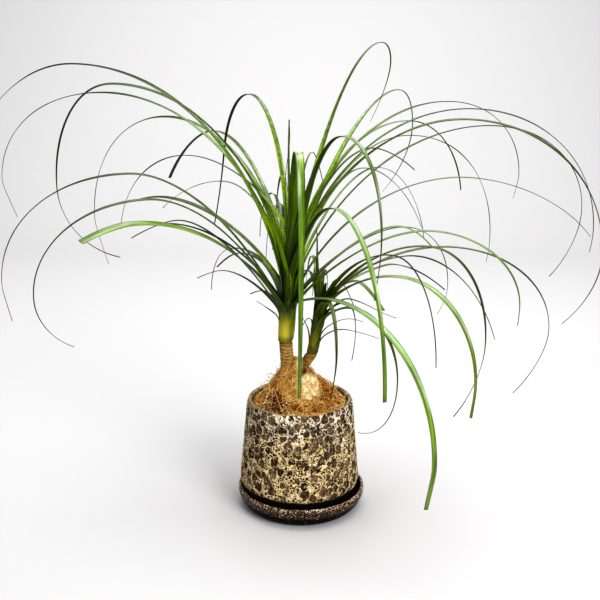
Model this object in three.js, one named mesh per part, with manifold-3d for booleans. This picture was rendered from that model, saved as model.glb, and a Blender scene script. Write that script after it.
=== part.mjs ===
// Potted ponytail palm in a crater-glazed pot on its saucer.
// Millimetres, +Z up. The origin is the middle of the saucer's flat underside,
// +X is to the right and -Y is the front.

import * as THREE from 'three';
import { mergeVertices } from 'three/addons/utils/BufferGeometryUtils.js';
import Module from 'manifold-3d';

const wasm = await Module();
wasm.setup();

// ---------------------------------------------------------------- dimensions

const CLEARANCE = 0.3;          // gap between pieces that touch

const SAUCER = { footR: 67, rimR: 80, height: 25.5, floorR: 69, floorZ: 6 };

// the pot stands a little left of the saucer's middle
const POT = { x: -2.5, footR: 60, bellyR: 75, bellyZ: 38, rimR: 65.5, rimZ: 140, wall: 6, base: 8, drainR: 8 };
POT.z = SAUCER.floorZ + CLEARANCE;
POT.innerRimR = POT.rimR - POT.wall;
POT.innerBellyR = POT.bellyR - POT.wall;

const SOIL = { topZ: 120 };
const COIR = { edgeZ: 132.5, rise: 41, lumps: 2.2 };

// swollen stem base, with its woody trunk and the knee of the side shoot
const BULB = { x: -7, bottomZ: 96, widestZ: 144, widestR: 30.5, neckZ: 188, neckR: 12, shoulder: 1.6 };
const TRUNK = { topZ: 212, radius: 8.2, lean: -0.07, scars: 10, scarStep: 4.2 };
const KNEE = { topZ: 196 };

// stem axes of the two crowns: x = x0 + lean * (z - z0)
const CROWNS = {
  main: { x0: -20.5, z0: TRUNK.topZ, lean: 0.07, y: 0 },
  side: { x0: 12, z0: KNEE.topZ, lean: 0.175, y: 5 },
};

const BLADE = { thick: 1.1, thinnest: 0.7, finestWidth: 1.8, channel: 0.16, fullness: 0.58, sway: 26, twist: 0.6 };

// ------------------------------------------------------------------- helpers

const GOLDEN_ANGLE = Math.PI * (3 - Math.sqrt(5));
const radians = THREE.MathUtils.degToRad;
const smooth = (value, low, high) => THREE.MathUtils.smoothstep(value, low, high);

// seeded random numbers in 0..1
function randomFrom(seed) {
  let state = seed;
  return () => {
    state = (state * 1664525 + 1013904223) % 4294967296;
    return state / 4294967296;
  };
}

// Closed surface through rings with the same number of points, each ring
// running anticlockwise seen from the far end.
function loft(rings, swapDiagonals = false) {
  const count = rings[0].length;
  const positions = rings.flat().flatMap((p) => [p.x, p.y, p.z]);
  const faces = [];
  for (let i = 0; i + 1 < rings.length; i += 1) {
    for (let k = 0; k < count; k += 1) {
      const a = i * count + k;
      const b = i * count + ((k + 1) % count);
      if (swapDiagonals && k % 2 === 1) {
        faces.push(a, b, a + count, b, b + count, a + count);
      } else {
        faces.push(a, b, b + count, a, b + count, a + count);
      }
    }
  }
  const last = (rings.length - 1) * count;
  for (let k = 1; k + 1 < count; k += 1) {
    faces.push(0, k + 1, k);
    faces.push(last, last + k, last + k + 1);
  }
  const geometry = new THREE.BufferGeometry();
  geometry.setAttribute('position', new THREE.Float32BufferAttribute(positions, 3));
  geometry.setIndex(faces);
  return geometry;
}

// Horizontal ring of points round (x, y, z).
function ring(x, y, z, radius, sides, shape = () => 1) {
  const points = [];
  for (let k = 0; k < sides; k += 1) {
    const angle = (2 * Math.PI * k) / sides;
    const r = radius * shape(angle, z);
    points.push(new THREE.Vector3(x + r * Math.cos(angle), y + r * Math.sin(angle), z));
  }
  return points;
}

// Turned body: outline is a THREE.Path of (radius, height) from bottom to top.
function turned(outline, sides, divisions = 5) {
  const geometry = new THREE.LatheGeometry(outline.getPoints(divisions), sides);
  return geometry.rotateX(Math.PI / 2);
}

function toSolid(geometry) {
  const bare = geometry.clone();
  bare.deleteAttribute('normal');
  bare.deleteAttribute('uv');
  const merged = mergeVertices(bare, 1e-4);
  const vertProperties = new Float32Array(merged.attributes.position.array);
  const triVerts = new Uint32Array(merged.index.array);
  return new wasm.Manifold(new wasm.Mesh({ numProp: 3, vertProperties, triVerts }));
}

// Triangles of the largest connected shell, so closed pockets are filled.
function outerShell(mesh) {
  const parent = Array.from({ length: mesh.vertProperties.length / 3 }, (_, i) => i);
  const find = (i) => {
    let root = i;
    while (parent[root] !== root) root = parent[root] = parent[parent[root]];
    return root;
  };
  const triangles = mesh.triVerts;
  for (let t = 0; t < triangles.length; t += 3) {
    parent[find(triangles[t + 1])] = find(triangles[t]);
    parent[find(triangles[t + 2])] = find(triangles[t]);
  }
  const shells = new Map();
  for (let t = 0; t < triangles.length; t += 3) {
    const root = find(triangles[t]);
    if (!shells.has(root)) shells.set(root, []);
    shells.get(root).push(triangles[t], triangles[t + 1], triangles[t + 2]);
  }
  return [...shells.values()].sort((a, b) => b.length - a.length)[0];
}

function fromSolid(solid) {
  const mesh = solid.getMesh();
  const geometry = new THREE.BufferGeometry();
  geometry.setAttribute('position', new THREE.BufferAttribute(mesh.vertProperties, 3));
  geometry.setIndex(outerShell(mesh));
  return geometry;
}

const joined = (geometries) => fromSolid(geometries.map(toSolid).reduce((a, b) => a.add(b)));

function piece(name, geometry, color, roughness, metalness = 0) {
  geometry.computeVertexNormals();
  const mesh = new THREE.Mesh(geometry, new THREE.MeshStandardMaterial({ color, roughness, metalness }));
  mesh.name = name;
  return mesh;
}

// ------------------------------------------------------------ saucer and pot

function saucerGeometry() {
  const { footR, rimR, height, floorR, floorZ } = SAUCER;
  const outline = new THREE.Path();
  outline.moveTo(0, 0);
  outline.lineTo(footR, 0);
  outline.quadraticCurveTo(footR + 7, 3, rimR - 2.5, 13);
  outline.quadraticCurveTo(rimR + 0.6, 18, rimR - 0.4, height - 2.5);
  outline.quadraticCurveTo(rimR - 1, height, rimR - 2.6, height);
  outline.quadraticCurveTo(rimR - 4.4, height, rimR - 5, height - 3);
  outline.quadraticCurveTo(floorR + 2, floorZ + 1, floorR - 4, floorZ);
  outline.lineTo(0, floorZ);
  return turned(outline, 44, 3);
}

// half outline of the pot's cavity, from its floor to a height just under the rim
function cavityOutline(inset, topZ) {
  const floorZ = POT.z + POT.base + inset;
  const outline = new THREE.Path();
  outline.moveTo(0, floorZ);
  outline.lineTo(POT.footR - POT.wall - 2 - inset, floorZ);
  outline.quadraticCurveTo(POT.innerBellyR - 2 - inset, floorZ + 4, POT.innerBellyR - inset, POT.bellyZ);
  const share = (topZ - POT.bellyZ) / (POT.rimZ - POT.bellyZ);
  const radius = THREE.MathUtils.lerp(POT.innerBellyR, POT.innerRimR, share) - inset;
  outline.lineTo(radius, topZ);
  return outline;
}

function potGeometry() {
  const { footR, bellyR, bellyZ, rimR, rimZ, innerRimR, drainR } = POT;
  const outline = new THREE.Path();
  outline.moveTo(drainR, POT.z);
  outline.lineTo(footR, POT.z);
  outline.quadraticCurveTo(bellyR - 3.5, POT.z + 5, bellyR, bellyZ);
  outline.lineTo(rimR + 1.4, rimZ - 14);
  outline.quadraticCurveTo(rimR + 0.4, rimZ, rimR - 2.8, rimZ);
  outline.quadraticCurveTo(innerRimR + 0.3, rimZ, innerRimR + 0.3, rimZ - 4);
  const inside = cavityOutline(0, rimZ - 8).getPoints(3).reverse();
  inside[inside.length - 1] = new THREE.Vector2(drainR, POT.z + POT.base);
  const points = [...outline.getPoints(3), ...inside, new THREE.Vector2(drainR, POT.z)];
  const geometry = new THREE.LatheGeometry(points, 44).rotateX(Math.PI / 2);
  return geometry.translate(POT.x, 0, 0);
}

// -------------------------------------------------------- bulb, trunk, knee

// radius of the bulb at a height, rounded below and bottle-shaped above
function bulbRadius(z) {
  const { bottomZ, widestZ, widestR, neckZ, neckR, shoulder } = BULB;
  if (z < widestZ) {
    const depth = (widestZ - z) / (widestZ - bottomZ);
    return widestR * Math.sqrt(Math.max(0, 1 - depth * depth));
  }
  return THREE.MathUtils.lerp(widestR, neckR, Math.pow((z - widestZ) / (neckZ - widestZ), shoulder));
}

function bulbGeometry(grow = 0) {
  const heights = [97, 101, 107, 115, 124, 134, 143, 152, 161, 170, 178, 185, 190];
  const folds = (angle, z) => 1 + 0.025 * Math.sin(5 * angle + z * 0.05) + 0.012 * Math.sin(11 * angle);
  const rings = heights.map((z) => {
    const shift = smooth(z, 160, 190) * -2.5;
    return ring(BULB.x + shift, 0, z - (z < BULB.widestZ ? grow : 0), bulbRadius(z) + grow, 24, folds);
  });
  return loft(rings);
}

function trunkGeometry() {
  const rings = [];
  for (let i = 2 * TRUNK.scars; i >= 0; i -= 1) {
    const down = (i * TRUNK.scarStep) / 2;
    const scar = i % 2 === 0 ? 0.35 : -0.25;
    const flare = 1.5 * smooth(down, 26, 40);
    const x = CROWNS.main.x0 - TRUNK.lean * down;
    rings.push(ring(x, 0, TRUNK.topZ - down, TRUNK.radius + scar + flare, 16));
  }
  return loft(rings);
}

function kneeGeometry() {
  const stations = [
    [0, 2, 172, 5], [3, 3, 180, 6], [6, 4, 186, 7], [8.8, 5, 191, 7.6], [11, 5, 194, 7.4], [12, 5, KNEE.topZ, 6.6],
  ];
  const knots = (angle, z) => 1 + 0.08 * Math.sin(3 * angle + z);
  return loft(stations.map(([x, y, z, r]) => ring(x, y, z, r, 14, knots)));
}

const caudexGeometry = () => joined([bulbGeometry(), trunkGeometry(), kneeGeometry()]);

// ------------------------------------------------------------- soil and coir

function soilGeometry() {
  const outline = cavityOutline(CLEARANCE, SOIL.topZ - 3);
  const { x: topR } = outline.currentPoint;
  outline.lineTo(topR - 4, SOIL.topZ);
  outline.lineTo(0, SOIL.topZ);
  const body = toSolid(turned(outline, 44, 3).translate(POT.x, 0, 0));
  return fromSolid(body.subtract(toSolid(bulbGeometry(CLEARANCE))));
}

// top of the loose fibre at a distance and bearing from the pot's axis: it lies
// flat at the rim and is heaped against the trunk, highest at the back left
function coirHeight(radius, angle) {
  const inward = 1 - radius / POT.innerRimR;
  const heap = COIR.rise * (0.6 + 0.38 * Math.cos(angle - radians(150)));
  const lumps = COIR.lumps * Math.sin(5 * angle + radius * 0.21) * Math.sin(radius * 0.33 + 2 * angle);
  return COIR.edgeZ + heap * smooth(inward, 0, 0.65) + lumps * Math.min(1, 4 * inward);
}

function coirGeometry() {
  const sides = 40;
  const bottomZ = SOIL.topZ + CLEARANCE;
  const share = (z) => (z - POT.bellyZ) / (POT.rimZ - POT.bellyZ);
  const wallR = (z) => THREE.MathUtils.lerp(POT.innerBellyR, POT.innerRimR, share(z)) - CLEARANCE;
  const rings = [ring(POT.x, 0, bottomZ, wallR(bottomZ) - 1, sides)];
  for (const radius of [wallR(COIR.edgeZ) - 0.6, 52, 44, 36, 28, 20, 12]) {
    const level = ring(POT.x, 0, 0, radius, sides);
    level.forEach((p, k) => {
      p.z = coirHeight(radius, (2 * Math.PI * k) / sides);
    });
    rings.push(level);
  }
  const heap = toSolid(loft(rings));
  return fromSolid(heap.subtract(toSolid(bulbGeometry(CLEARANCE))).subtract(toSolid(trunkSleeve())));
}

function trunkSleeve() {
  const radius = TRUNK.radius + 2 + CLEARANCE;
  return loft([ring(-16.5, 0, 150, radius, 18), ring(-19.5, 0, 220, radius, 18)]);
}

// --------------------------------------------------------------------- crowns

// Every leaf that can be told apart:
// [crown, bearing in degrees from +X, width, tip, knots, roll]
// The tip goes from 0 for a fine one to 1 for a cut one.
// A knot is [reach from the stem, height, heading], and a heading is 90 up,
// 0 level outward and -90 down.
const LEAVES = [
  ['main', 172, 8, 0, [[3, 250, 84], [262, 539, 0], [405, 420, -72]]],
  ['main', -160, 10, 0, [[3, 280, 81], [200, 516, 0], [262, 408, -90], [197, 325, -165]]],
  ['main', 155, 6, 0, [[3, 270, 82], [262, 506, 0], [437, 385, -90], [412, 338, -120]]],
  ['main', 142, 7, 0, [[3, 280, 82], [206, 476, 0], [368, 325, -90], [342, 262, -115]]],
  ['main', 120, 7, 1, [[3, 290, 70], [205, 456, 0], [364, 378, -47]]],
  ['main', 130, 9, 0, [[3, 300, 88], [85, 506, 0], [141, 433, -80], [169, 335, -69]]],
  ['main', 148, 6, 0, [[-4, 330, 62], [158, 430, 0], [292, 322, -80]]],
  ['main', 125, 4, 0, [[3, 300, 62], [150, 393, 0], [352, 334, -30]]],
  ['main', -168, 9, 0, [[3, 245, 66], [180, 418, 0], [330, 290, -90], [322, 248, -102]]],
  ['main', -150, 8, 0, [[3, 240, 66], [173, 396, 0], [297, 300, -90], [258, 242, -155]]],
  ['main', 155, 8, 1, [[3, 270, 60], [180, 378, 0], [218, 372, -18]]],
  ['main', -138, 11, 1, [[3, 243, 62], [208, 377, 0], [262, 364, -24]], -34],
  ['main', -172, 8, 1, [[3, 255, 62], [143, 360, 0], [150, 359, -6]]],
  ['main', 180, 7, 1, [[3, 240, 60], [130, 360, 0], [188, 337, -32]]],
  ['main', 118, 7, 0, [[3, 245, 68], [193, 293, -16], [264, 219, -83]]],
  ['main', 140, 6, 1, [[3, 265, 62], [89, 310, -13], [126, 287, -41]]],
  ['main', 168, 7, 0, [[3, 240, 58], [82, 297, 0], [115, 285, -28]]],
  ['main', 140, 5, 1, [[3, 240, 55], [38, 270, 0], [61, 262, -30]]],
  ['main', -165, 4, 0, [[3, 238, 40], [38, 265, 15]]],
  ['main', -100, 9, 0, [[0, 285, 90], [3, 478, 90]]],
  ['main', 180, 5, 0, [[2, 290, 92], [7, 405, 90], [2, 470, 84]]],
  ['main', -82, 12, 0.45, [[3, 290, 82], [60, 446, 0], [90, 360, -88], [84, 170, -95]]],
  ['main', 35, 11, 0, [[3, 300, 78], [136, 569, 0], [150, 545, -90], [122, 474, -122]]],
  ['main', 42, 9, 0, [[3, 300, 68], [184, 513, 0], [213, 466, -90], [160, 384, -145]]],
  ['main', 28, 7, 0, [[3, 300, 80], [218, 499, 0], [336, 403, -90], [327, 373, -110]]],
  ['main', 48, 6, 0.5, [[3, 300, 78], [232, 472, 0], [390, 365, -75]]],
  ['main', -10, 7, 0, [[3, 300, 78], [200, 493, 0], [340, 360, -90], [338, 340, -95]]],
  ['main', -28, 10, 0, [[3, 300, 74], [204, 483, 0], [349, 348, -90], [315, 275, -135]], 16],
  ['main', -4, 7, 0, [[3, 270, 74], [228, 474, 0], [339, 375, -90], [309, 299, -130]]],
  ['main', 40, 5, 0, [[3, 290, 74], [195, 455, 0], [397, 285, -90], [393, 260, -98]]],
  ['main', 10, 7, 1, [[3, 310, 76], [95, 446, 0], [147, 420, -42]], 24],
  ['main', -52, 10, 0, [[3, 300, 78], [92, 464, 0], [162, 348, -90], [157, 298, -98]]],
  ['main', 70, 5, 0, [[3, 310, 82], [66, 438, 0], [106, 396, -60]]],
  ['main', 8, 6, 0, [[3, 255, 72], [205, 412, 0], [370, 340, -52]]],
  ['main', 52, 4, 0, [[3, 280, 60], [185, 411, 0], [345, 292, -68]]],
  ['main', 46, 4, 0, [[3, 290, 66], [130, 415, 0], [281, 320, -55]]],
  ['main', -60, 9, 1, [[3, 290, 68], [97, 388, 0], [211, 207, -85]]],
  ['main', -16, 6, 0, [[3, 258, 54], [132, 361, 0], [169, 338, -52]]],
  ['main', -30, 7, 0.35, [[3, 252, 52], [182, 365, 0], [278, 292, -90], [277, 273, -93]], 14],
  ['main', 32, 4, 0, [[3, 262, 45], [168, 340, 0], [261, 245, -90], [246, 211, -130]]],
  ['main', -48, 10, 0.9, [[3, 258, 30], [82, 279, 0], [234, 125, -90], [226, 78, -100]], 12],
  ['side', -42, 9, 0, [[3, 245, 62], [160, 350, 0], [230, 255, -90], [199, 170, -125]]],
  ['side', -20, 8, 0, [[3, 252, 60], [158, 340, 0], [268, 252, -90], [234, 173, -128]]],
  ['side', 28, 6, 0, [[3, 255, 55], [120, 308, 0], [267, 181, -72]]],
  ['side', 50, 6, 1, [[3, 255, 50], [140, 285, 0], [296, 223, -32]]],
  ['side', -55, 7, 0, [[3, 258, 58], [136, 341, 0], [208, 238, -85]]],
  ['side', -45, 10, 0.6, [[3, 248, 55], [128, 312, 0], [223, 210, -90], [219, 174, -95]], 14],
  ['side', -37, 6, 0, [[3, 235, 50], [48, 261, 0], [113, 182, -90], [58, 103, -178]]],
  ['side', -15, 6, 0, [[3, 240, 50], [32, 268, 0], [95, 248, -12]]],
  ['side', 0, 4, 0, [[2, 214, 62], [44, 241, 0], [59, 237, -18]]],
  ['side', -12, 4, 0, [[2, 206, 58], [36, 229, 0], [81, 220, -18]]],
  ['side', -82, 6, 0, [[3, 238, 62], [82, 278, 0], [127, 228, -90], [98, 172, -125]]],
  ['side', -35, 9, 1, [[3, 262, 50], [48, 294, 0], [85, 264, -50]]],
  ['side', 30, 4, 0, [[2, 255, 66], [21, 289, 0], [46, 252, -68]]],
  ['side', 165, 5, 0, [[2, 210, 78], [20, 249, 58]]],
  ['side', -160, 4, 0, [[2, 227, 80], [8, 244, 0], [21, 229, -48]]],
  ['side', 108, 7, 0, [[2, 235, 88], [10, 350, 86]]],
  ['side', 100, 7, 0, [[2, 235, 89], [7, 345, 88]]],
  ['side', -42, 5, 0, [[3, 240, 52], [44, 268, 0], [56, 200, -100]]],
];

// Hidden back leaves follow the spiral in which the palm makes its leaves.
const BACK_LEAVES = [
  { crown: 'main', count: 8, from: 84, to: 108, rootZ: 262, crestZ: 400, reach: 95, seed: 7 },
  { crown: 'side', count: 5, from: 82, to: 112, rootZ: 240, crestZ: 300, reach: 60, seed: 21 },
];

function backLeaves({ crown, count, from, to, rootZ, crestZ, reach, seed }) {
  const random = randomFrom(seed);
  const leaves = [];
  for (let i = 0; i < count; i += 1) {
    const turn = ((i * GOLDEN_ANGLE) / (2 * Math.PI)) % 1;
    const bearing = THREE.MathUtils.lerp(from, to, turn);
    const size = 0.75 + 0.35 * random();
    const crest = [reach * size, rootZ + (crestZ - rootZ) * size, 0];
    const tip = [crest[0] * (1.9 + 0.3 * random()), crest[1] - crest[0] * (0.8 + 0.4 * random()), -80];
    leaves.push([crown, bearing, 6 + 2 * random(), 0, [[3, rootZ + 3 * i, 72], crest, tip]]);
  }
  return leaves;
}

// Middle line of a leaf in its own plane, as points {reach, height, heading}.
function leafLine(knots) {
  const line = [];
  for (let i = 0; i + 1 < knots.length; i += 1) {
    const [r0, z0, a0] = knots[i];
    const [r1, z1, a1] = knots[i + 1];
    const out0 = new THREE.Vector2(Math.cos(radians(a0)), Math.sin(radians(a0)));
    const out1 = new THREE.Vector2(Math.cos(radians(a1)), Math.sin(radians(a1)));
    const chord = new THREE.Vector2(r1 - r0, z1 - z0);
    const cross = out0.x * out1.y - out0.y * out1.x;
    let reach0 = (chord.x * out1.y - chord.y * out1.x) / cross;
    let reach1 = (out0.x * chord.y - out0.y * chord.x) / cross;
    const far = 3 * chord.length();
    if (!(reach0 > 0 && reach1 > 0 && reach0 < far && reach1 < far)) {
      reach0 = reach1 = 0.62 * chord.length();
    }
    const curve = new THREE.CubicBezierCurve(
      new THREE.Vector2(r0, z0),
      new THREE.Vector2(r0, z0).addScaledVector(out0, BLADE.fullness * reach0),
      new THREE.Vector2(r1, z1).addScaledVector(out1, -BLADE.fullness * reach1),
      new THREE.Vector2(r1, z1),
    );
    const steps = Math.ceil(Math.abs(a1 - a0) / 17.5 + chord.length() / 260);
    for (let k = i === 0 ? 0 : 1; k <= steps; k += 1) {
      const point = curve.getPointAt(k / steps);
      const tangent = curve.getTangentAt(k / steps);
      line.push({ reach: point.x, height: point.y, heading: Math.atan2(tangent.y, tangent.x) });
    }
  }
  return line;
}

// Channelled blade: broad where it clasps the stem, tapering to a fine or a
// cut tip. Its four-sided section is thick along the middle. Towards the tip
// it sways out of its plane by up to BLADE.sway and twists by up to BLADE.twist.
function bladeGeometry([crown, bearing, width, tip, knots, turn], sway, twist) {
  const { x0, z0, lean, y } = CROWNS[crown];
  const stemX = x0 + lean * (knots[0][1] - z0);
  const outward = new THREE.Vector3(Math.cos(radians(bearing)), Math.sin(radians(bearing)), 0);
  const across = new THREE.Vector3(-outward.y, outward.x, 0);
  const line = leafLine(knots);
  const travelled = [0];
  for (let i = 1; i < line.length; i += 1) {
    const step = Math.hypot(line[i].reach - line[i - 1].reach, line[i].height - line[i - 1].height);
    travelled.push(travelled[i - 1] + step);
  }
  const total = travelled.at(-1);
  const sideways = BLADE.sway * sway * Math.abs(outward.x) * (total / 500);
  const rings = line.map(({ reach, height, heading }, i) => {
    const along = travelled[i] / total;
    const middle = new THREE.Vector3(stemX, y, height).addScaledVector(outward, reach);
    middle.addScaledVector(across, sideways * along * along);
    const forward = new THREE.Vector3(0, 0, Math.sin(heading)).addScaledVector(outward, Math.cos(heading));
    const roll = (turn === undefined ? BLADE.twist * twist : radians(turn)) * along;
    const side = across.clone().applyAxisAngle(forward, roll);
    const inner = forward.clone().cross(side);
    const halfWidth = Math.max(leafWidth(width, along, tip), BLADE.finestWidth) / 2;
    const thick = THREE.MathUtils.lerp(BLADE.thick, BLADE.thinnest, along) / 2;
    const fold = 2 * halfWidth * BLADE.channel;
    const at = (right, up) => middle.clone().addScaledVector(side, right).addScaledVector(inner, up);
    return [at(0, -thick), at(halfWidth, fold), at(0, thick), at(-halfWidth, fold)];
  });
  return loft(rings, true);
}

function leafWidth(width, along, tip) {
  const clasp = 1 + 0.35 * (1 - smooth(along, 0, 0.18));
  const fine = 1.25 * Math.pow(1 - along, 1.35) + 0.12 * (1 - along);
  return width * clasp * THREE.MathUtils.lerp(fine, 1 - 0.35 * along, tip);
}

// Stack of clasping leaf bases that the leaves stand out of.
function sheathGeometry(crown, stations) {
  const { x0, z0, lean, y } = CROWNS[crown];
  return loft(stations.map(([z, radius]) => ring(x0 + lean * (z - z0), y, z, radius, 14)));
}

function crownGeometry(crown, stations) {
  const rule = BACK_LEAVES.find((row) => row.crown === crown);
  const leaves = [...LEAVES.filter((row) => row[0] === crown), ...backLeaves(rule)];
  const random = randomFrom(rule.seed + 100);
  const blades = leaves.map((leaf) => bladeGeometry(leaf, 2 * random() - 1, 2 * random() - 1));
  return joined([sheathGeometry(crown, stations), ...blades]);
}

const MAIN_SHEATH = [[TRUNK.topZ + CLEARANCE, 8.6], [218, 9.4], [236, 9.8], [256, 9.2], [280, 7.5], [305, 4.5], [325, 2]];
const SIDE_SHEATH = [[KNEE.topZ + CLEARANCE, 6.2], [204, 5.6], [222, 6], [244, 6.2], [262, 5], [285, 2]];

// ---------------------------------------------------------------------- model

const palm = new THREE.Group();
palm.add(
  piece('caudex', caudexGeometry(), 0xc9b77e, 0.8),
  piece('main_crown', crownGeometry('main', MAIN_SHEATH), 0x4f8a16, 0.4),
  piece('side_crown', crownGeometry('side', SIDE_SHEATH), 0x3f7414, 0.4),
);

const planter = new THREE.Group();
planter.add(
  piece('saucer', saucerGeometry(), 0x2a2624, 0.35),
  piece('pot', potGeometry(), 0x9b8d76, 0.65),
  piece('soil', soilGeometry(), 0x2e231b, 0.95),
  piece('coir_mulch', coirGeometry(), 0xb06a2c, 0.95),
);

const model = new THREE.Group();
model.add(planter, palm);

export default model;
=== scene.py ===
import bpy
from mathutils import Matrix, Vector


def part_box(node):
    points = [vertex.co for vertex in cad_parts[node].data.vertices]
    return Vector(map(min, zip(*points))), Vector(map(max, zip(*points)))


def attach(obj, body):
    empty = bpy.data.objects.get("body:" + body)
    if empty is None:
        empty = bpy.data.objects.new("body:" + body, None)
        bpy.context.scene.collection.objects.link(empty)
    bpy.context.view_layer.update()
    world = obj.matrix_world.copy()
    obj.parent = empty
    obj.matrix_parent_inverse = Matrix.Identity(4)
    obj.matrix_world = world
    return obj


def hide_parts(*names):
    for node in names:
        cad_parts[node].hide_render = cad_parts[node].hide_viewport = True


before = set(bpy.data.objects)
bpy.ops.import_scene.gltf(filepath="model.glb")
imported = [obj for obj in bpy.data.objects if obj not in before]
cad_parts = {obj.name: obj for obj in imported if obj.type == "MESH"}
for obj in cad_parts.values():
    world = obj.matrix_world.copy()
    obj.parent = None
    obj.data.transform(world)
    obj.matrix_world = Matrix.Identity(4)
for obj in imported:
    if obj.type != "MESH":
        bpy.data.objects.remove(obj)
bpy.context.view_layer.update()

import math
import random
from collections import namedtuple

import bpy
import numpy as np
from mathutils import Matrix, Vector, noise

bl_info = {
    "name": "Potted Ponytail Palm",
    "version": (1, 0, 0),
    "blender": (4, 5, 0),
    "location": "View3D > Sidebar > Palm",
    "description": "Dresses the packed palm: glazed pot, fibre mulch, corky stem and leaves",
    "category": "Object",
}

# ---------------------------------------------------------------------------
# Sizes, in metres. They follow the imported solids.
# ---------------------------------------------------------------------------

MM = 0.001
FULL_TURN = 2 * math.pi
GOLDEN_ANGLE = math.pi * (3 - math.sqrt(5))

POT_LOW, POT_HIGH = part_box("pot")
POT_X = (POT_LOW.x + POT_HIGH.x) / 2
BELLY_R = (POT_HIGH.x - POT_LOW.x) / 2
FOOT_Z, RIM_Z = POT_LOW.z, POT_HIGH.z
RIM_R, FOOT_R, DRAIN_R = 65.5 * MM, 60 * MM, 8 * MM
BELLY_Z, WALL, BASE = 38 * MM, 6 * MM, 8 * MM
INNER_RIM_R, INNER_BELLY_R = RIM_R - WALL, BELLY_R - WALL
GLAZE_START = 27 * MM        # bare clay lies below this height over the foot
CRATER_PITCH = 9.4 * MM      # typical distance between craters in the glaze

SAUCER_R, SAUCER_Z = 80 * MM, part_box("saucer")[1].z
SAUCER_FOOT_R, SAUCER_FLOOR_R, SAUCER_FLOOR_Z = 67 * MM, 69 * MM, 6 * MM

COIR_FOOT_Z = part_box("coir_mulch")[0].z
COIR_EDGE_Z, COIR_RISE, COIR_LUMPS = 132.5 * MM, 41 * MM, 2.2 * MM
COIR_HIGH_SIDE = math.radians(150)

BULB_X, BULB_FOOT_Z, BULB_WIDEST_Z, BULB_NECK_Z = -7 * MM, 96 * MM, 144 * MM, 188 * MM
BULB_WIDEST_R, BULB_NECK_R, BULB_SHOULDER = 30.5 * MM, 12 * MM, 1.6
TRUNK_TOP_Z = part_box("caudex")[1].z
TRUNK_R, TRUNK_LEAN, TRUNK_SCARS, SCAR_STEP = 8.2 * MM, -0.07, 10, 4.2 * MM
KNEE = [  # x, y, z and radius up the side shoot's woody foot, in millimetres
    (0, 2, 172, 5), (3, 3, 180, 6), (6, 4, 186, 7),
    (8.8, 5, 191, 7.6), (11, 5, 194, 7.4), (12, 5, 196, 6.6),
]

# Stem axes of the two crowns, in millimetres: x = x0 + lean * (z - z0), with the
# sheath's (height, radius) stations. A blade wraps the stem from its root down by
# the clasp. From 0 to 1, the rest says how pale the leaf bases are, how deep the
# shade is in the hollow among the lowest leaves, and how brightly the young
# leaves' feet above it are lit.
CROWNS = {
    "main": {
        "x0": -20.5, "z0": 212, "lean": 0.07, "y": 0, "seed": 7, "clasp": 34,
        "paleness": 1.0, "hollow": 0.6, "lit": 1.0,
        "sheath": [
            (212.3, 8.6), (218, 9.4), (236, 9.8), (256, 9.2), (280, 7.5), (305, 4.5), (325, 2),
        ],
    },
    "side": {
        "x0": 12, "z0": 196, "lean": 0.175, "y": 5, "seed": 21, "clasp": 22,
        "paleness": 0.3, "hollow": 0.15, "lit": 0.0,
        "sheath": [(196.3, 6.2), (204, 5.6), (222, 6), (244, 6.2), (262, 5), (285, 2)],
    },
}

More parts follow.
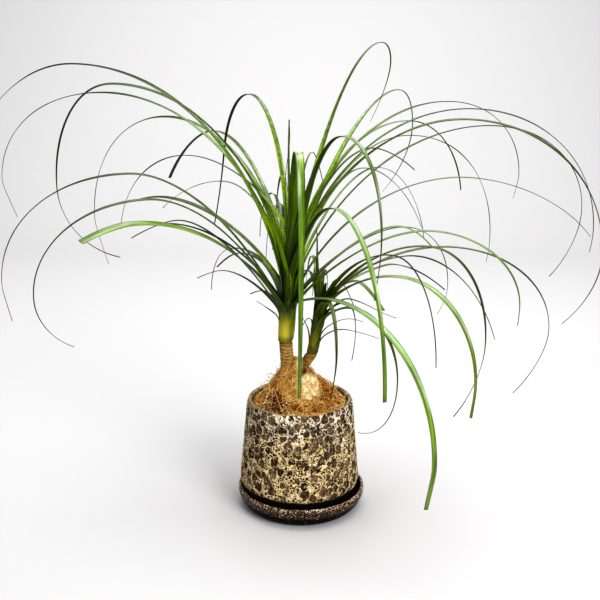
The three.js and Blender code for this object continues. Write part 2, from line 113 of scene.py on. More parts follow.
# Every leaf that can be told apart, in millimetres and degrees. The bearing is
# taken from +X. The tip goes from 0 for a fine one to 1 for a cut one. A knot is
# (reach from the stem, height, heading), and a heading is 90 up, 0 level outward
# and -90 down. The roll is the blade's turn about its length by its tip. The
# tones go from 0 for an old dark leaf to 1 for a fresh one, near the stem and
# further out. Leaves without the last three get random ones.
Leaf = namedtuple("Leaf", "bearing width tip knots roll tone outer_tone", defaults=(None,) * 3)
LEAVES = {
    "main": [
        Leaf(172, 8, 0, [(3, 250, 84), (262, 539, 0), (405, 420, -72)], -45, 0.55, 0.02),
        Leaf(-160, 10, 0, [(3, 280, 81), (200, 516, 0), (262, 408, -90), (197, 325, -165)],
             -30, 0.55, 0.05),
        Leaf(155, 6, 0, [(3, 270, 82), (262, 506, 0), (437, 385, -90), (412, 338, -120)],
             -35, 0.5, 0),
        Leaf(142, 7, 0, [(3, 280, 82), (206, 476, 0), (368, 325, -90), (342, 262, -115)],
             -35, 0.5, 0),
        Leaf(120, 7, 1, [(3, 290, 70), (205, 456, 0), (364, 378, -47)], 0, 0.5, 0.1),
        Leaf(130, 9, 0.24, [(3, 300, 88), (85, 506, 0), (141, 433, -80), (169, 335, -69)],
             0, 0.95, 0.05),
        Leaf(148, 6, 0, [(-4, 330, 62), (158, 430, 0), (292, 322, -80)]),
        Leaf(125, 4, 0, [(3, 300, 62), (150, 393, 0), (352, 334, -30)]),
        Leaf(-168, 9, 0, [(3, 245, 66), (180, 418, 0), (330, 290, -90), (322, 248, -102)],
             -20, 0.45, 0.08),
        Leaf(-150, 8, 0, [(3, 240, 66), (173, 396, 0), (297, 300, -90), (258, 242, -155)],
             -25, 0.45, 0.12),
        Leaf(155, 8, 1, [(3, 270, 60), (180, 378, 0), (218, 372, -18)], -20, 0.45, 0.15),
        Leaf(-138, 11, 1, [(3, 243, 62), (208, 377, 0), (262, 364, -24)], -30, 0.36, 0.48),
        Leaf(-172, 8, 1, [(3, 255, 62), (143, 360, 0), (150, 359, -6)], 20, 0.45, 0.1),
        Leaf(180, 7, 1, [(3, 240, 60), (130, 360, 0), (188, 337, -32)], 0, 0.4, 0.02),
        Leaf(118, 7, 0, [(3, 245, 68), (193, 293, -16), (264, 219, -83)]),
        Leaf(140, 6, 1, [(3, 265, 62), (89, 310, -13), (126, 287, -41)], 0, 0.4, 0.05),
        Leaf(168, 7, 0, [(3, 240, 58), (82, 297, 0), (115, 285, -28)]),
        Leaf(140, 5, 1, [(3, 240, 55), (38, 270, 0), (61, 262, -30)], 0, 0.35, 0.05),
        Leaf(-165, 4, 0, [(3, 238, 40), (38, 265, 15)]),
        Leaf(150, 6.5, 0.8, [(0, 285, 90), (7, 478, 90)], 0, 1, 0.35),
        Leaf(180, 5, 0, [(2, 290, 92), (7, 405, 90), (2, 470, 84)]),
        Leaf(-82, 12, 0.45, [(3, 290, 82), (60, 446, 0), (90, 360, -88), (84, 170, -95)],
             0, 0.42, 0.52),
        Leaf(35, 11, 0, [(3, 300, 78), (136, 569, 0), (150, 545, -90), (122, 474, -122)],
             0, 0.95, 0.2),
        Leaf(42, 9, 0, [(3, 300, 68), (184, 513, 0), (213, 466, -90), (160, 384, -145)],
             10, 0.9, 0.18),
        Leaf(28, 7, 0, [(3, 300, 80), (218, 499, 0), (336, 403, -90), (327, 373, -110)],
             15, 0.55, 0.05),
        Leaf(48, 6, 0.5, [(3, 300, 78), (232, 472, 0), (390, 365, -75)], 0, 0.5, 0.2),
        Leaf(-10, 7, 0, [(3, 300, 78), (200, 493, 0), (340, 360, -90), (338, 340, -95)],
             15, 0.6, 0.08),
        Leaf(-28, 10, 0, [(3, 300, 74), (204, 483, 0), (349, 348, -90), (315, 275, -135)],
             18, 0.68, 0.08),
        Leaf(-4, 7, 0, [(3, 270, 74), (228, 474, 0), (339, 375, -90), (309, 299, -130)],
             12, 0.55, 0.08),
        Leaf(40, 5, 0, [(3, 290, 74), (195, 455, 0), (397, 285, -90), (393, 260, -98)]),
        Leaf(10, 7, 1, [(3, 310, 76), (95, 446, 0), (147, 420, -42)], 8, 0.42, 0.15),
        Leaf(-52, 11, 0.12, [(3, 300, 78), (92, 464, 0), (162, 348, -90), (157, 298, -98)],
             10, 0.3, 0.25),
        Leaf(70, 5, 0, [(3, 310, 82), (66, 438, 0), (106, 396, -60)]),
        Leaf(8, 6, 0, [(3, 255, 72), (205, 412, 0), (370, 340, -52)], 10, 0.35, 0.3),
        Leaf(52, 4, 0, [(3, 280, 60), (185, 411, 0), (345, 292, -68)]),
        Leaf(46, 4, 0, [(3, 290, 66), (130, 415, 0), (281, 320, -55)]),
        Leaf(-60, 8.5, 0.8, [(3, 290, 68), (97, 388, 0), (211, 207, -85)], 0, 0.38, 0.44),
        Leaf(-16, 9, 0.5, [(3, 258, 54), (132, 361, 0), (169, 338, -52)], 20, 0.5, 0.5),
        Leaf(-30, 8, 0.35, [(3, 252, 52), (182, 365, 0), (278, 292, -90), (277, 273, -93)],
             16, 0.7, 0.35),
        Leaf(32, 4, 0, [(3, 262, 45), (168, 340, 0), (261, 245, -90), (246, 211, -130)]),
        Leaf(-48, 10, 0.9, [(3, 258, 30), (82, 279, 0), (234, 125, -90), (226, 78, -100)],
             12, 0.35, 0.52),
    ],
    "side": [
        Leaf(-42, 9, 0, [(3, 245, 62), (160, 350, 0), (230, 255, -90), (199, 170, -125)],
             10, 0.6, 0.05),
        Leaf(-20, 8, 0, [(3, 252, 60), (158, 340, 0), (268, 252, -90), (234, 173, -128)],
             10, 0.6, 0.05),
        Leaf(28, 6, 0, [(3, 255, 55), (120, 308, 0), (267, 181, -72)]),
        Leaf(50, 6, 1, [(3, 255, 50), (140, 285, 0), (296, 223, -32)], 0, 0.5, 0),
        Leaf(-55, 7, 0, [(3, 258, 58), (136, 341, 0), (208, 238, -85)], 0, 0.5, 0),
        Leaf(-45, 10, 0.6, [(3, 248, 55), (128, 312, 0), (223, 210, -90), (219, 174, -95)],
             14, 0.7, 0.5),
        Leaf(-37, 8.5, 0, [(3, 235, 50), (48, 261, 0), (113, 182, -90), (58, 103, -178)],
             0, 0.4, 0.12),
        Leaf(-15, 6, 0, [(3, 240, 50), (32, 268, 0), (95, 248, -12)], 0, 0.35, 0.05),
        Leaf(0, 4, 0, [(2, 214, 62), (44, 241, 0), (59, 237, -18)], 0, 0.3, 0.02),
        Leaf(-12, 4, 0, [(2, 206, 58), (36, 229, 0), (81, 220, -18)], 0, 0.3, 0.02),
        Leaf(-82, 8, 0, [(3, 238, 62), (82, 278, 0), (127, 228, -90), (98, 172, -125)],
             0, 0.4, 0.12),
        Leaf(-35, 9, 1, [(3, 262, 50), (48, 294, 0), (85, 264, -50)], 0, 0.55, 0.45),
        Leaf(30, 4, 0, [(2, 255, 66), (21, 289, 0), (46, 252, -68)]),
        Leaf(165, 5, 0, [(2, 210, 78), (20, 249, 58)]),
        Leaf(-160, 4, 0, [(2, 227, 80), (8, 244, 0), (21, 229, -48)]),
        Leaf(108, 7, 0, [(2, 235, 88), (10, 350, 86)], 0, 0.6, 0.3),
        Leaf(100, 7, 0, [(2, 235, 89), (7, 345, 88)], 0, 0.5, 0.25),
        Leaf(-42, 5, 0, [(3, 240, 52), (44, 268, 0), (56, 200, -100)]),
    ],
}

# leaves on the far side follow the spiral in which the palm makes its leaves
BACK_LEAVES = {
    "main": {"count": 8, "bearings": (84, 108), "root_z": 262, "crest_z": 400, "reach": 95},
    "side": {"count": 5, "bearings": (82, 112), "root_z": 240, "crest_z": 300, "reach": 60},
}

BLADE_THICK, BLADE_THIN = 1.0, 0.6      # near the stem and by the tip, in millimetres
BLADE_LEAST_HALF = 0.5      # half the width that the finest tip keeps, in millimetres
BLADE_FULLNESS = 0.58       # how far a curve's handles reach towards their corner
BLADE_SWAY = 26             # furthest that a 500 mm leaf sways sideways, in millimetres
BLADE_TWIST = 0.6           # furthest that a leaf rolls by itself, in radians
BLADE_CURL = 0.66           # half of the angle that a blade's section bends through, in radians
CLASP_CURL = 1.9            # the same where it wraps the stem
BLADE_STEP = 4.0            # distance between a blade's cross sections, in millimetres
BLADE_COLUMNS = 8           # faces across a blade's upper side
CURLED_WIDTH = 0.93         # width of a curled section as a share of the flat one
CUT_TIP = 0.3               # tips above this end in a cut
SWAY_SEED = 100             # added to a crown's seed for the sway and roll of its leaves

# a blade's middle line: its points, the distance along it, the length beyond the
# root, the share of that length, the share down the clasping foot, and how far it wraps
Course = namedtuple("Course", "points length free along below clasping")


# ---------------------------------------------------------------------------
# Small helpers
# ---------------------------------------------------------------------------

def smooth(value, low, high):
    """From 0 to 1 as the value goes from low to high, easing in and out."""
    share = np.clip((np.asarray(value, float) - low) / (high - low), 0, 1)
    return share * share * (3 - 2 * share)


def lerp(a, b, share):
    return a + (b - a) * share


def rgb(red, green, blue):
    """Screen colour from 0 to 255 as the linear colour that shaders take."""
    linear = []
    for part in (red / 255, green / 255, blue / 255):
        linear.append(part / 12.92 if part <= 0.04045 else ((part + 0.055) / 1.055) ** 2.4)
    return (*linear, 1.0)


def random_from(seed):
    """Seeded numbers in 0..1, the same sequence as the solids use."""
    factor, shift, span = 1664525, 1013904223, 2 ** 32
    state = seed
    while True:
        state = (state * factor + shift) % span
        yield state / span


def ripple(points, scale, offset=0.0):
    """Smooth noise of about -1..1 at each of (n, 3) points; each offset gives another pattern."""
    shift = Vector((offset, offset * 0.7, -offset))
    return np.array([noise.noise(Vector(p) * scale + shift) for p in points])


def hump(value, middle, reach):
    """1 at the middle value, fading softly to 0 on both sides."""
    return np.exp(-((value - middle) / reach) ** 2)


def spot(across, up, middle, reach):
    """A soft round mark, 1 at its middle and fading over its reach, both in millimetres."""
    far_across = (across - middle[0] * MM) / (reach[0] * MM)
    far_up = (up - middle[1] * MM) / (reach[1] * MM)
    return np.exp(-(far_across ** 2 + far_up ** 2))


def add_values(mesh, values):
    """Stores arrays of numbers or triples as attributes of the mesh's points."""
    for name, array in values.items():
        kind, field = ("FLOAT_VECTOR", "vector") if np.ndim(array) == 2 else ("FLOAT", "value")
        layer = mesh.attributes.new(name, kind, "POINT")
        layer.data.foreach_set(field, np.asarray(array, np.float32).ravel())


def place_mesh(name, points, faces, material, values=None, sharp=40):
    """A smooth-shaded mesh object, creased where its faces meet at more than sharp degrees."""
    mesh = bpy.data.meshes.new(name)
    mesh.from_pydata(np.asarray(points, float).tolist(), [], faces)
    add_values(mesh, values or {})
    mesh.validate()
    mesh.shade_smooth()
    mesh.set_sharp_from_angle(angle=math.radians(sharp))
    mesh.materials.append(material)
    piece = bpy.data.objects.new(name, mesh)
    bpy.context.scene.collection.objects.link(piece)
    return piece


def ring_angles(columns):
    """Evenly spaced angles round a ring of that many points."""
    return FULL_TURN * np.arange(columns) / columns


def grid_faces(rows, columns, closed_rows=False):
    """Quads between rings of points, each ring closed; rows close too on a ring-shaped body."""
    faces = []
    for i in range(rows if closed_rows else rows - 1):
        here, above = i * columns, (i + 1) % rows * columns
        for k in range(columns):
            following = (k + 1) % columns
            faces.append((here + k, here + following, above + following, above + k))
    return faces


def capped_faces(rows, columns):
    """Quads between rings of points, with a face over the first and the last ring."""
    faces = grid_faces(rows, columns)
    faces.append(tuple(reversed(range(columns))))
    faces.append(tuple(range((rows - 1) * columns, rows * columns)))
    return faces


def joined(bodies):
    """Several bodies, each as its points and faces, as one."""
    faces, base = [], 0
    for points, body_faces in bodies:
        faces += [tuple(i + base for i in face) for face in body_faces]
        base += len(points)
    return np.concatenate([points for points, _ in bodies]), faces


def turned(outline, columns):
    """Angle, radius and height of every point of a turned body, and the points about its axis."""
    angle = np.tile(ring_angles(columns), len(outline))
    radius, height = np.repeat(outline, columns, axis=0).T
    flat = np.stack([radius * np.cos(angle), radius * np.sin(angle), height], axis=1)
    return angle, radius, height, flat


class Outline:
    """Half section of a turned piece, as (radius, height) points at a chosen spacing."""

    bend_length = 0.93      # of the way round by the handle

    def __init__(self, radius, height):
        self.points = [(radius, height)]

    def line(self, end, spacing):
        start = self.points[-1]
        count = max(1, round(math.dist(start, end) / spacing))
        for i in range(1, count + 1):
            self.points.append(tuple(lerp(a, b, i / count) for a, b in zip(start, end)))
        return self

    def bend(self, handle, end, spacing):
        start = self.points[-1]
        way_round = math.dist(start, handle) + math.dist(handle, end)
        count = max(2, round(way_round * self.bend_length / spacing))
        for i in range(1, count + 1):
            t = i / count
            near, turn, far = (1 - t) ** 2, 2 * t * (1 - t), t * t
            corners = zip(start, handle, end)
            self.points.append(tuple(near * a + turn * h + far * b for a, h, b in corners))
        return self


# ---------------------------------------------------------------------------
# Shader groups: effects that more than one material uses
# ---------------------------------------------------------------------------

class Shading:
    """Adds nodes to a node tree, each with its settings and what feeds its sockets."""

    def __init__(self, tree):
        self.tree = tree

    def node(self, kind, feeds=None, **settings):
        made = self.tree.nodes.new("ShaderNode" + kind)
        for key, value in settings.items():
            setattr(made, key, value)
        for key, value in (feeds or {}).items():
            if isinstance(value, bpy.types.NodeSocket):
                self.tree.links.new(value, made.inputs[key])
            else:
                made.inputs[key].default_value = value
        return made

    def feed(self, output, socket):
        self.tree.links.new(output, socket)

    def maths(self, operation, a, b=0.0, clamp=False):
        return self.node("Math", {0: a, 1: b}, operation=operation, use_clamp=clamp).outputs[0]

    def times(self, a, b, clamp=False):
        return self.maths("MULTIPLY", a, b, clamp)

    def plus(self, a, b):
        return self.maths("ADD", a, b)

    def minus(self, a, b):
        return self.maths("SUBTRACT", a, b)

    def step(self, value, low, high, start=0.0, end=1.0):
        """Goes smoothly from start to end as the value goes from low to high."""
        feeds = {0: value, 1: low, 2: high, 3: start, 4: end}
        return self.node("MapRange", feeds, interpolation_type="SMOOTHSTEP").outputs[0]

    def lerp(self, share, start, end):
        """Goes smoothly from start to end as the share goes from 0 to 1."""
        return self.step(share, 0.0, 1.0, start, end)

    def mix(self, share, a, b):
        return self.node("Mix", {0: share, 6: a, 7: b}, data_type="RGBA").outputs[2]

    def ramp(self, value, stops):
        made = self.node("ValToRGB", {0: value})
        band = made.color_ramp
        while len(band.elements) < len(stops):
            band.elements.new(0.5)
        for element, (place, colour) in zip(band.elements, stops):
            element.position = place
            element.color = colour
        return made.outputs[0]

    def noise(self, vector, scale, detail=3.0, roughness=0.55):
        feeds = {"Vector": vector, "Scale": scale, "Detail": detail, "Roughness": roughness}
        return self.node("TexNoise", feeds).outputs[0]

    def stretch(self, vector, scale):
        return self.node("VectorMath", {0: vector, 1: scale}, operation="MULTIPLY").outputs[0]

    def bend(self, vector, scale, reach):
        """The vector moved about by noise of that scale, by up to that reach in metres."""
        shift = self.node("TexNoise", {"Vector": vector, "Scale": scale, "Detail": 3.0}).outputs[1]
        shift = self.node("VectorMath", {0: shift, "Scale": reach}, operation="SCALE").outputs[0]
        return self.node("VectorMath", {0: vector, 1: shift}, operation="ADD").outputs[0]

    def parts(self, vector):
        return self.node("SeparateXYZ", {0: vector}).outputs

    def attribute(self, name):
        return self.node("Attribute", attribute_name=name).outputs

    def place(self):
        """The point on the object, in metres."""
        return self.node("TexCoord").outputs["Object"]

    def group(self, name, feeds):
        return self.node("Group", feeds, node_tree=bpy.data.node_groups[name]).outputs

    def speckle(self, vector, cells, size, share):
        feeds = {"Vector": vector, "Cells per metre": cells, "Size": size, "Share": share}
        return self.group("Speckle", feeds)

    def mottle(self, vector, patches, grain):
        feeds = {"Vector": vector, "Patches per metre": patches, "Grain": grain}
        return self.group("Mottle", feeds)["Value"]

    def streaks(self, across, along, lines, run):
        feeds = {"Across": across, "Along": along, "Lines": lines, "Run": run}
        return self.group("Streaks", feeds)["Value"]


def shader_group(name, inputs, outputs):
    """An empty group with named sockets; returns its Shading, its inputs and its output node."""
    tree = bpy.data.node_groups.new(name, "ShaderNodeTree")
    for label, kind, default in inputs:
        socket = tree.interface.new_socket(label, in_out="INPUT", socket_type="NodeSocket" + kind)
        if default is not None:
            socket.default_value = default
    for label, kind in outputs:
        tree.interface.new_socket(label, in_out="OUTPUT", socket_type="NodeSocket" + kind)
    source = tree.nodes.new("NodeGroupInput").outputs
    sink = tree.nodes.new("NodeGroupOutput").inputs
    return Shading(tree), source, sink


def make_speckle_group():
    """Scattered round specks of uneven size: pinholes, metal flecks, grit."""
    inputs = [
        ("Vector", "Vector", None), ("Cells per metre", "Float", 200.0),
        ("Size", "Float", 0.2), ("Share", "Float", 0.6),
    ]
    s, given, out = shader_group("Speckle", inputs, [("Mask", "Float"), ("Tone", "Float")])
    cells = s.node("TexVoronoi", {"Vector": given["Vector"], "Scale": given["Cells per metre"]})
    tone = s.parts(cells.outputs["Color"])
    size = s.times(given["Size"], s.lerp(tone[1], 0.55, 1.3))
    core = s.times(size, 0.55)
    speck = s.node("MapRange", {0: cells.outputs["Distance"], 1: size, 2: core}).outputs[0]
    kept = s.maths("LESS_THAN", tone[0], given["Share"])
    s.feed(s.times(speck, kept), out["Mask"])
    s.feed(tone[2], out["Tone"])


def make_mottle_group():
    """Cloudy variation, from broad patches down to fine grain, spread out to 0..1."""
    inputs = [
        ("Vector", "Vector", None), ("Patches per metre", "Float", 60.0), ("Grain", "Float", 0.5),
    ]
    s, given, out = shader_group("Mottle", inputs, [("Value", "Float")])
    broad = s.noise(given["Vector"], given["Patches per metre"], detail=2.0)
    finer = s.times(given["Patches per metre"], 6.0)
    fine = s.noise(given["Vector"], finer, detail=4.0, roughness=0.65)
    blended = s.node("Mix", {0: given["Grain"], 2: broad, 3: fine}).outputs[0]
    s.feed(s.step(blended, 0.3, 0.7), out["Value"])


def make_streak_group():
    """Fine lines along a length: leaf veins, bark and husk fibre."""
    inputs = [
        ("Across", "Float", 0.0), ("Along", "Float", 0.0),
        ("Lines", "Float", 40.0), ("Run", "Float", 8.0),
    ]
    s, given, out = shader_group("Streaks", inputs, [("Value", "Float")])
    across = s.times(given["Across"], given["Lines"])
    along = s.times(given["Along"], given["Run"])
    where = s.node("CombineXYZ", {0: across, 1: along}).outputs[0]
    s.feed(s.step(s.noise(where, 1.0, detail=2.0, roughness=0.6), 0.3, 0.7), out["Value"])


def new_material(name):
    """A material with an empty tree but for its Principled shader and output."""
    material = bpy.data.materials.new(name)
    material.use_nodes = True
    tree = material.node_tree
    shader = next(n for n in tree.nodes if n.type == "BSDF_PRINCIPLED")
    return material, Shading(tree), shader


def finish_surface(s, shader, colour, roughness, height, depth, fixed=None):
    """Feeds colour, roughness and a bump of that depth in metres, and sets the fixed sockets."""
    s.feed(colour, shader.inputs["Base Color"])
    s.feed(roughness, shader.inputs["Roughness"])
    bump = s.node("Bump", {"Height": height, "Distance": depth, "Strength": 1.0})
    s.feed(bump.outputs[0], shader.inputs["Normal"])
    for socket, value in (fixed or {}).items():
        shader.inputs[socket].default_value = value


# ---------------------------------------------------------------------------
# Materials
# ---------------------------------------------------------------------------

def crater_glaze(look):
    """Pitted glaze: pale lace round sunken brown craters, with pinholes all over, painted shadow in
    the crater edges and painted shade low on the wall.
    """
    lace_cells = 330.0      # per metre
    crater_floor = [
        (0.0, rgb(16, 8, 0)), (0.3, rgb(50, 35, 18)), (0.55, rgb(84, 65, 49)),
        (0.8, rgb(120, 98, 72)), (1.0, rgb(172, 150, 122)),
    ]
    worn_lip = rgb(112, 98, 68)
    inner_dark, inner_pale, inner_fleck = rgb(92, 88, 74), rgb(150, 146, 130), rgb(60, 56, 46)
    # bare clay, painted near black as it also stands for the shade under the belly
    clay_dark_and_shade, clay_pale = rgb(10, 7, 6), rgb(34, 25, 19)

    material, s, shader = new_material("crater_glaze")
    place = s.place()
    crater = s.attribute("crater")["Fac"]
    tone = s.attribute("crater_tone")["Fac"]
    lip, bare, inside = s.parts(s.attribute("pot_band")["Vector"])
    height = s.parts(place)[2]

    warp = s.noise(place, 420.0, detail=3.0, roughness=0.6)
    bent = s.bend(place, 380.0, 0.0026)
    coarse = s.speckle(bent, cells=350.0, size=0.46, share=0.95)
    fine = s.speckle(bent, cells=540.0, size=0.5, share=0.85)
    cloud = s.mottle(place, patches=70.0, grain=0.3)
    grain = s.mottle(place, patches=300.0, grain=0.6)
    smooth_patch = s.step(s.noise(place, 90.0, detail=2.0), 0.55, 0.66)

    # lace: a net of pale threads round small holes, whitish near the rim and tan further down
    cells = {"Vector": bent, "Scale": lace_cells}
    net = s.node("TexVoronoi", cells, feature="DISTANCE_TO_EDGE").outputs["Distance"]
    cell = s.parts(s.node("TexVoronoi", cells).outputs["Color"])
    up = s.step(s.plus(height, s.times(cloud, 0.05)), 0.11, 0.17)
    pale = s.mix(up, look.tan_lace, look.white_lace)
    thread = s.step(s.plus(net, s.times(grain, 0.09)), 0.21, 0.07)
    filled = s.times(s.step(cell[0], 0.74, 0.82), s.lerp(cell[1], 0.4, 0.9))
    smooth_glaze = s.times(up, smooth_patch)
    pale_share = s.maths("MAXIMUM", s.maths("MAXIMUM", thread, filled), s.times(smooth_glaze, 0.9))
    stain = s.mix(grain, look.dark_stain_and_shade, look.stain_light)
    hollow = s.mix(s.step(cell[2], 0.25, 0.6), look.pinhole, stain)
    lace = s.mix(pale_share, hollow, pale)
    holes = s.times(s.minus(1.0, pale_share), 0.8)
    pinholes = s.times(fine["Mask"], s.step(fine["Tone"], 0.5, 0.8, 0.0, 0.85))
    lace = s.mix(pinholes, lace, look.pinhole)

    # craters: brown and mauve floors, mottled, with painted shadow dark round their edges and pale
    # brims
    floor = s.ramp(s.plus(s.times(tone, 0.45), s.times(grain, 0.6)), crater_floor)
    edge = s.plus(crater, s.times(s.minus(warp, 0.5), 1.25))
    ragged = s.step(edge, 0.16, 0.34)
    shadow = s.times(ragged, s.step(edge, 0.65, 0.3))
    brim = s.times(s.step(edge, 0.02, 0.12), s.step(crater, 0.0, 0.04))
    flecks = s.times(fine["Mask"], s.step(fine["Tone"], 0.5, 0.7))
    floor = s.mix(s.times(flecks, 0.6), floor, pale)
    # painted shadow: a dark ring inside each crater's edge, in the dark stain colour
    floor = s.mix(s.times(shadow, 0.65), floor, look.dark_stain_and_shade)
    lace = s.mix(s.times(brim, s.step(grain, 0.2, 0.6)), lace, pale)
    wall = s.mix(ragged, lace, floor)
    pits = s.times(coarse["Mask"], s.step(coarse["Tone"], 0.55, 0.4))
    wall = s.mix(s.times(pits, 0.9), wall, look.pinhole)

    # bands: the smooth lip, the inside and the bare clay foot, whose near-black clay is partly
    # painted shade under the belly
    lip_colour = s.mix(s.step(grain, 0.3, 0.9), look.lip, worn_lip)
    inner_colour = s.mix(flecks, s.mix(grain, inner_dark, inner_pale), inner_fleck)
    clay_and_shade_colour = s.mix(grain, clay_dark_and_shade, clay_pale)
    # painted shadow: the wall darkens towards the foot, where the belly turns under against the
    # saucer
    low = s.step(s.plus(height, s.times(warp, 0.012)), 0.036, 0.02)
    wall = s.mix(s.times(low, 0.8), wall, look.dark_stain_and_shade)
    colour = s.mix(lip, wall, lip_colour)
    colour = s.mix(inside, colour, inner_colour)
    colour = s.mix(bare, colour, clay_and_shade_colour)

    roughness = s.plus(s.times(grain, 0.2), s.lerp(ragged, 0.45, 0.62))
    relief = s.minus(s.times(warp, 0.5), s.times(holes, s.lerp(ragged, 0.9, 0.4)))
    relief = s.times(relief, s.lerp(lip, 1.0, 0.15))
    fixed = {"Specular IOR Level": 0.1}
    finish_surface(s, shader, colour, roughness, relief, depth=0.0012, fixed=fixed)
    return material


def saucer_glaze(look):
    """Near-black glaze, breaking to brown and silver flecks on the rim, with a painted highlight
    along its top edge.
    """
    dark_grain = rgb(20, 16, 15)
    rim_flecks_and_highlight = [
        (0.45, look.dark), (0.52, rgb(54, 35, 16)), (0.59, rgb(108, 84, 50)), (0.67, look.fleck_and_glint),
    ]
    brown_dark, brown_pale = rgb(8, 4, 2), rgb(112, 76, 40)

    material, s, shader = new_material("saucer_glaze")
    place = s.place()
    x, y, z = s.parts(place)
    radius = s.maths("SQRT", s.plus(s.times(x, x), s.times(y, y)))
    grain = s.mottle(place, patches=170.0, grain=0.5)
    brown = s.speckle(place, cells=300.0, size=0.55, share=0.75)
    silver = s.speckle(place, cells=420.0, size=0.42, share=0.45)
    blotch = s.noise(place, 520.0, detail=4.0, roughness=0.7)

    uneven_z = s.plus(z, s.times(grain, 0.003))
    outer = s.times(s.step(radius, 0.0735, 0.0768), s.step(uneven_z, 0.0115, 0.0175))
    # painted highlight: the rim's top edge takes paler colours and more silver flecks
    crown = s.step(z, 0.0195, 0.0235)
    rim = s.ramp(s.plus(blotch, s.times(crown, 0.05)), rim_flecks_and_highlight)
    rim = s.mix(s.times(brown["Mask"], 0.6), rim, s.mix(brown["Tone"], brown_dark, brown_pale))
    rim = s.mix(s.times(silver["Mask"], s.lerp(crown, 0.25, 0.8)), rim, look.fleck_and_glint)
    colour = s.mix(outer, s.mix(grain, look.dark, dark_grain), rim)
    few = s.times(silver["Mask"], s.step(silver["Tone"], 0.8, 0.9))
    colour = s.mix(s.times(few, 0.35), colour, look.fleck_and_glint)

    roughness = s.plus(s.times(grain, 0.16), s.step(radius, 0.064, 0.072, 0.16, 0.4))
    relief = s.minus(grain, s.times(brown["Mask"], 0.6))
    relief = s.times(relief, s.lerp(outer, 0.2, 1.0))
    fixed = {"Specular IOR Level": 0.08, "Coat Roughness": 0.1}
    finish_surface(s, shader, colour, roughness, relief, depth=0.0005, fixed=fixed)
    low = s.times(s.step(radius, 0.066, 0.0745), s.step(z, 0.0155, 0.0115))
    s.feed(s.times(s.lerp(low, 0.28, 0.02), s.lerp(grain, 0.6, 1.0)), shader.inputs["Coat Weight"])
    return material


def potting_soil():
    """Dark crumbly soil with paler grit."""
    peat_dark, peat_pale, grit_pale = rgb(26, 18, 13), rgb(74, 54, 38), rgb(168, 160, 142)
    material, s, shader = new_material("potting_soil")
    place = s.place()
    crumb = s.mottle(place, patches=220.0, grain=0.6)
    grit = s.speckle(place, cells=260.0, size=0.35, share=0.3)["Mask"]
    colour = s.mix(grit, s.mix(crumb, peat_dark, peat_pale), grit_pale)
    finish_surface(s, shader, colour, s.lerp(crumb, 0.95, 0.8), s.plus(crumb, grit), depth=0.002)
    return material


def coir_fibre(name, look, depth):
    """Coconut husk fibre, from maroon through rust to straw, each strand its own shade."""
    # maroon, the darkest fibre, serves the damp patch and the painted shade of the mound
    maroon = rgb(40, 12, 4)
    shades = [
        (0.0, maroon), (0.26, look.dark), (0.52, look.rust), (0.76, look.gold), (1.0, look.straw),
    ]
    material, s, shader = new_material(name)
    shade, along, strand = s.parts(s.attribute("strand")["Vector"])
    grain = s.mottle(s.place(), patches=480.0, grain=0.5)
    streak = s.streaks(strand, along, lines=6.0, run=900.0)
    tone = s.plus(shade, s.times(s.minus(streak, 0.5), 0.16))
    colour = s.mix(s.lerp(grain, 0.0, 0.2), s.ramp(tone, shades), look.dark)
    roughness, relief = s.lerp(grain, 0.55, 0.8), s.plus(grain, streak)
    fixed = {"Specular IOR Level": 0.2}
    finish_surface(s, shader, colour, roughness, relief, depth=depth, fixed=fixed)
    return material


def bark(look):
    """Cream corky bulb, ringed grey-brown trunk and the side shoot's brown foot."""
    material, s, shader = new_material("bark")
    place = s.place()
    zone, scar, crack_and_shade = s.parts(s.attribute("bark")["Vector"])
    flush = s.attribute("bulb_flush")["Fac"]
    moss = s.attribute("bulb_moss")["Fac"]
    grain = s.mottle(place, patches=150.0, grain=0.45)
    cloud = s.mottle(place, patches=45.0, grain=0.2)
    fibre = s.noise(s.stretch(place, (1.0, 1.0, 0.22)), 620.0, detail=3.0, roughness=0.6)
    lines = s.noise(s.stretch(place, (1.0, 1.0, 7.0)), 130.0, detail=3.0, roughness=0.6)

    cream = s.mix(cloud, look.cream, look.cream_shade)
    cream = s.mix(s.times(s.step(fibre, 0.5, 0.68), 0.45), cream, look.cork)
    flake = s.step(s.noise(place, 260.0, detail=3.0, roughness=0.6), 0.4, 0.62)
    cream = s.mix(s.times(flake, 0.75), cream, look.flake)
    cream = s.mix(flush, cream, look.flush)
    cream = s.mix(moss, cream, s.mix(grain, look.moss, look.wood_dark))
    wood = s.mix(s.step(lines, 0.36, 0.62), look.wood_dark, look.wood)
    wood = s.mix(s.times(scar, s.lerp(grain, 0.35, 0.95)), wood, look.scar)
    colour = s.mix(zone, cream, wood)
    # this mix darkens the real cracks and lines and the painted shade on the knee
    colour = s.mix(crack_and_shade, colour, look.deep_wood_and_shade)
    roughness = s.lerp(grain, 0.62, 0.85)
    relief = s.plus(fibre, s.times(s.plus(lines, grain), 0.5))
    fixed = {"Specular IOR Level": 0.25}
    finish_surface(s, shader, colour, roughness, relief, depth=0.001, fixed=fixed)
    return material


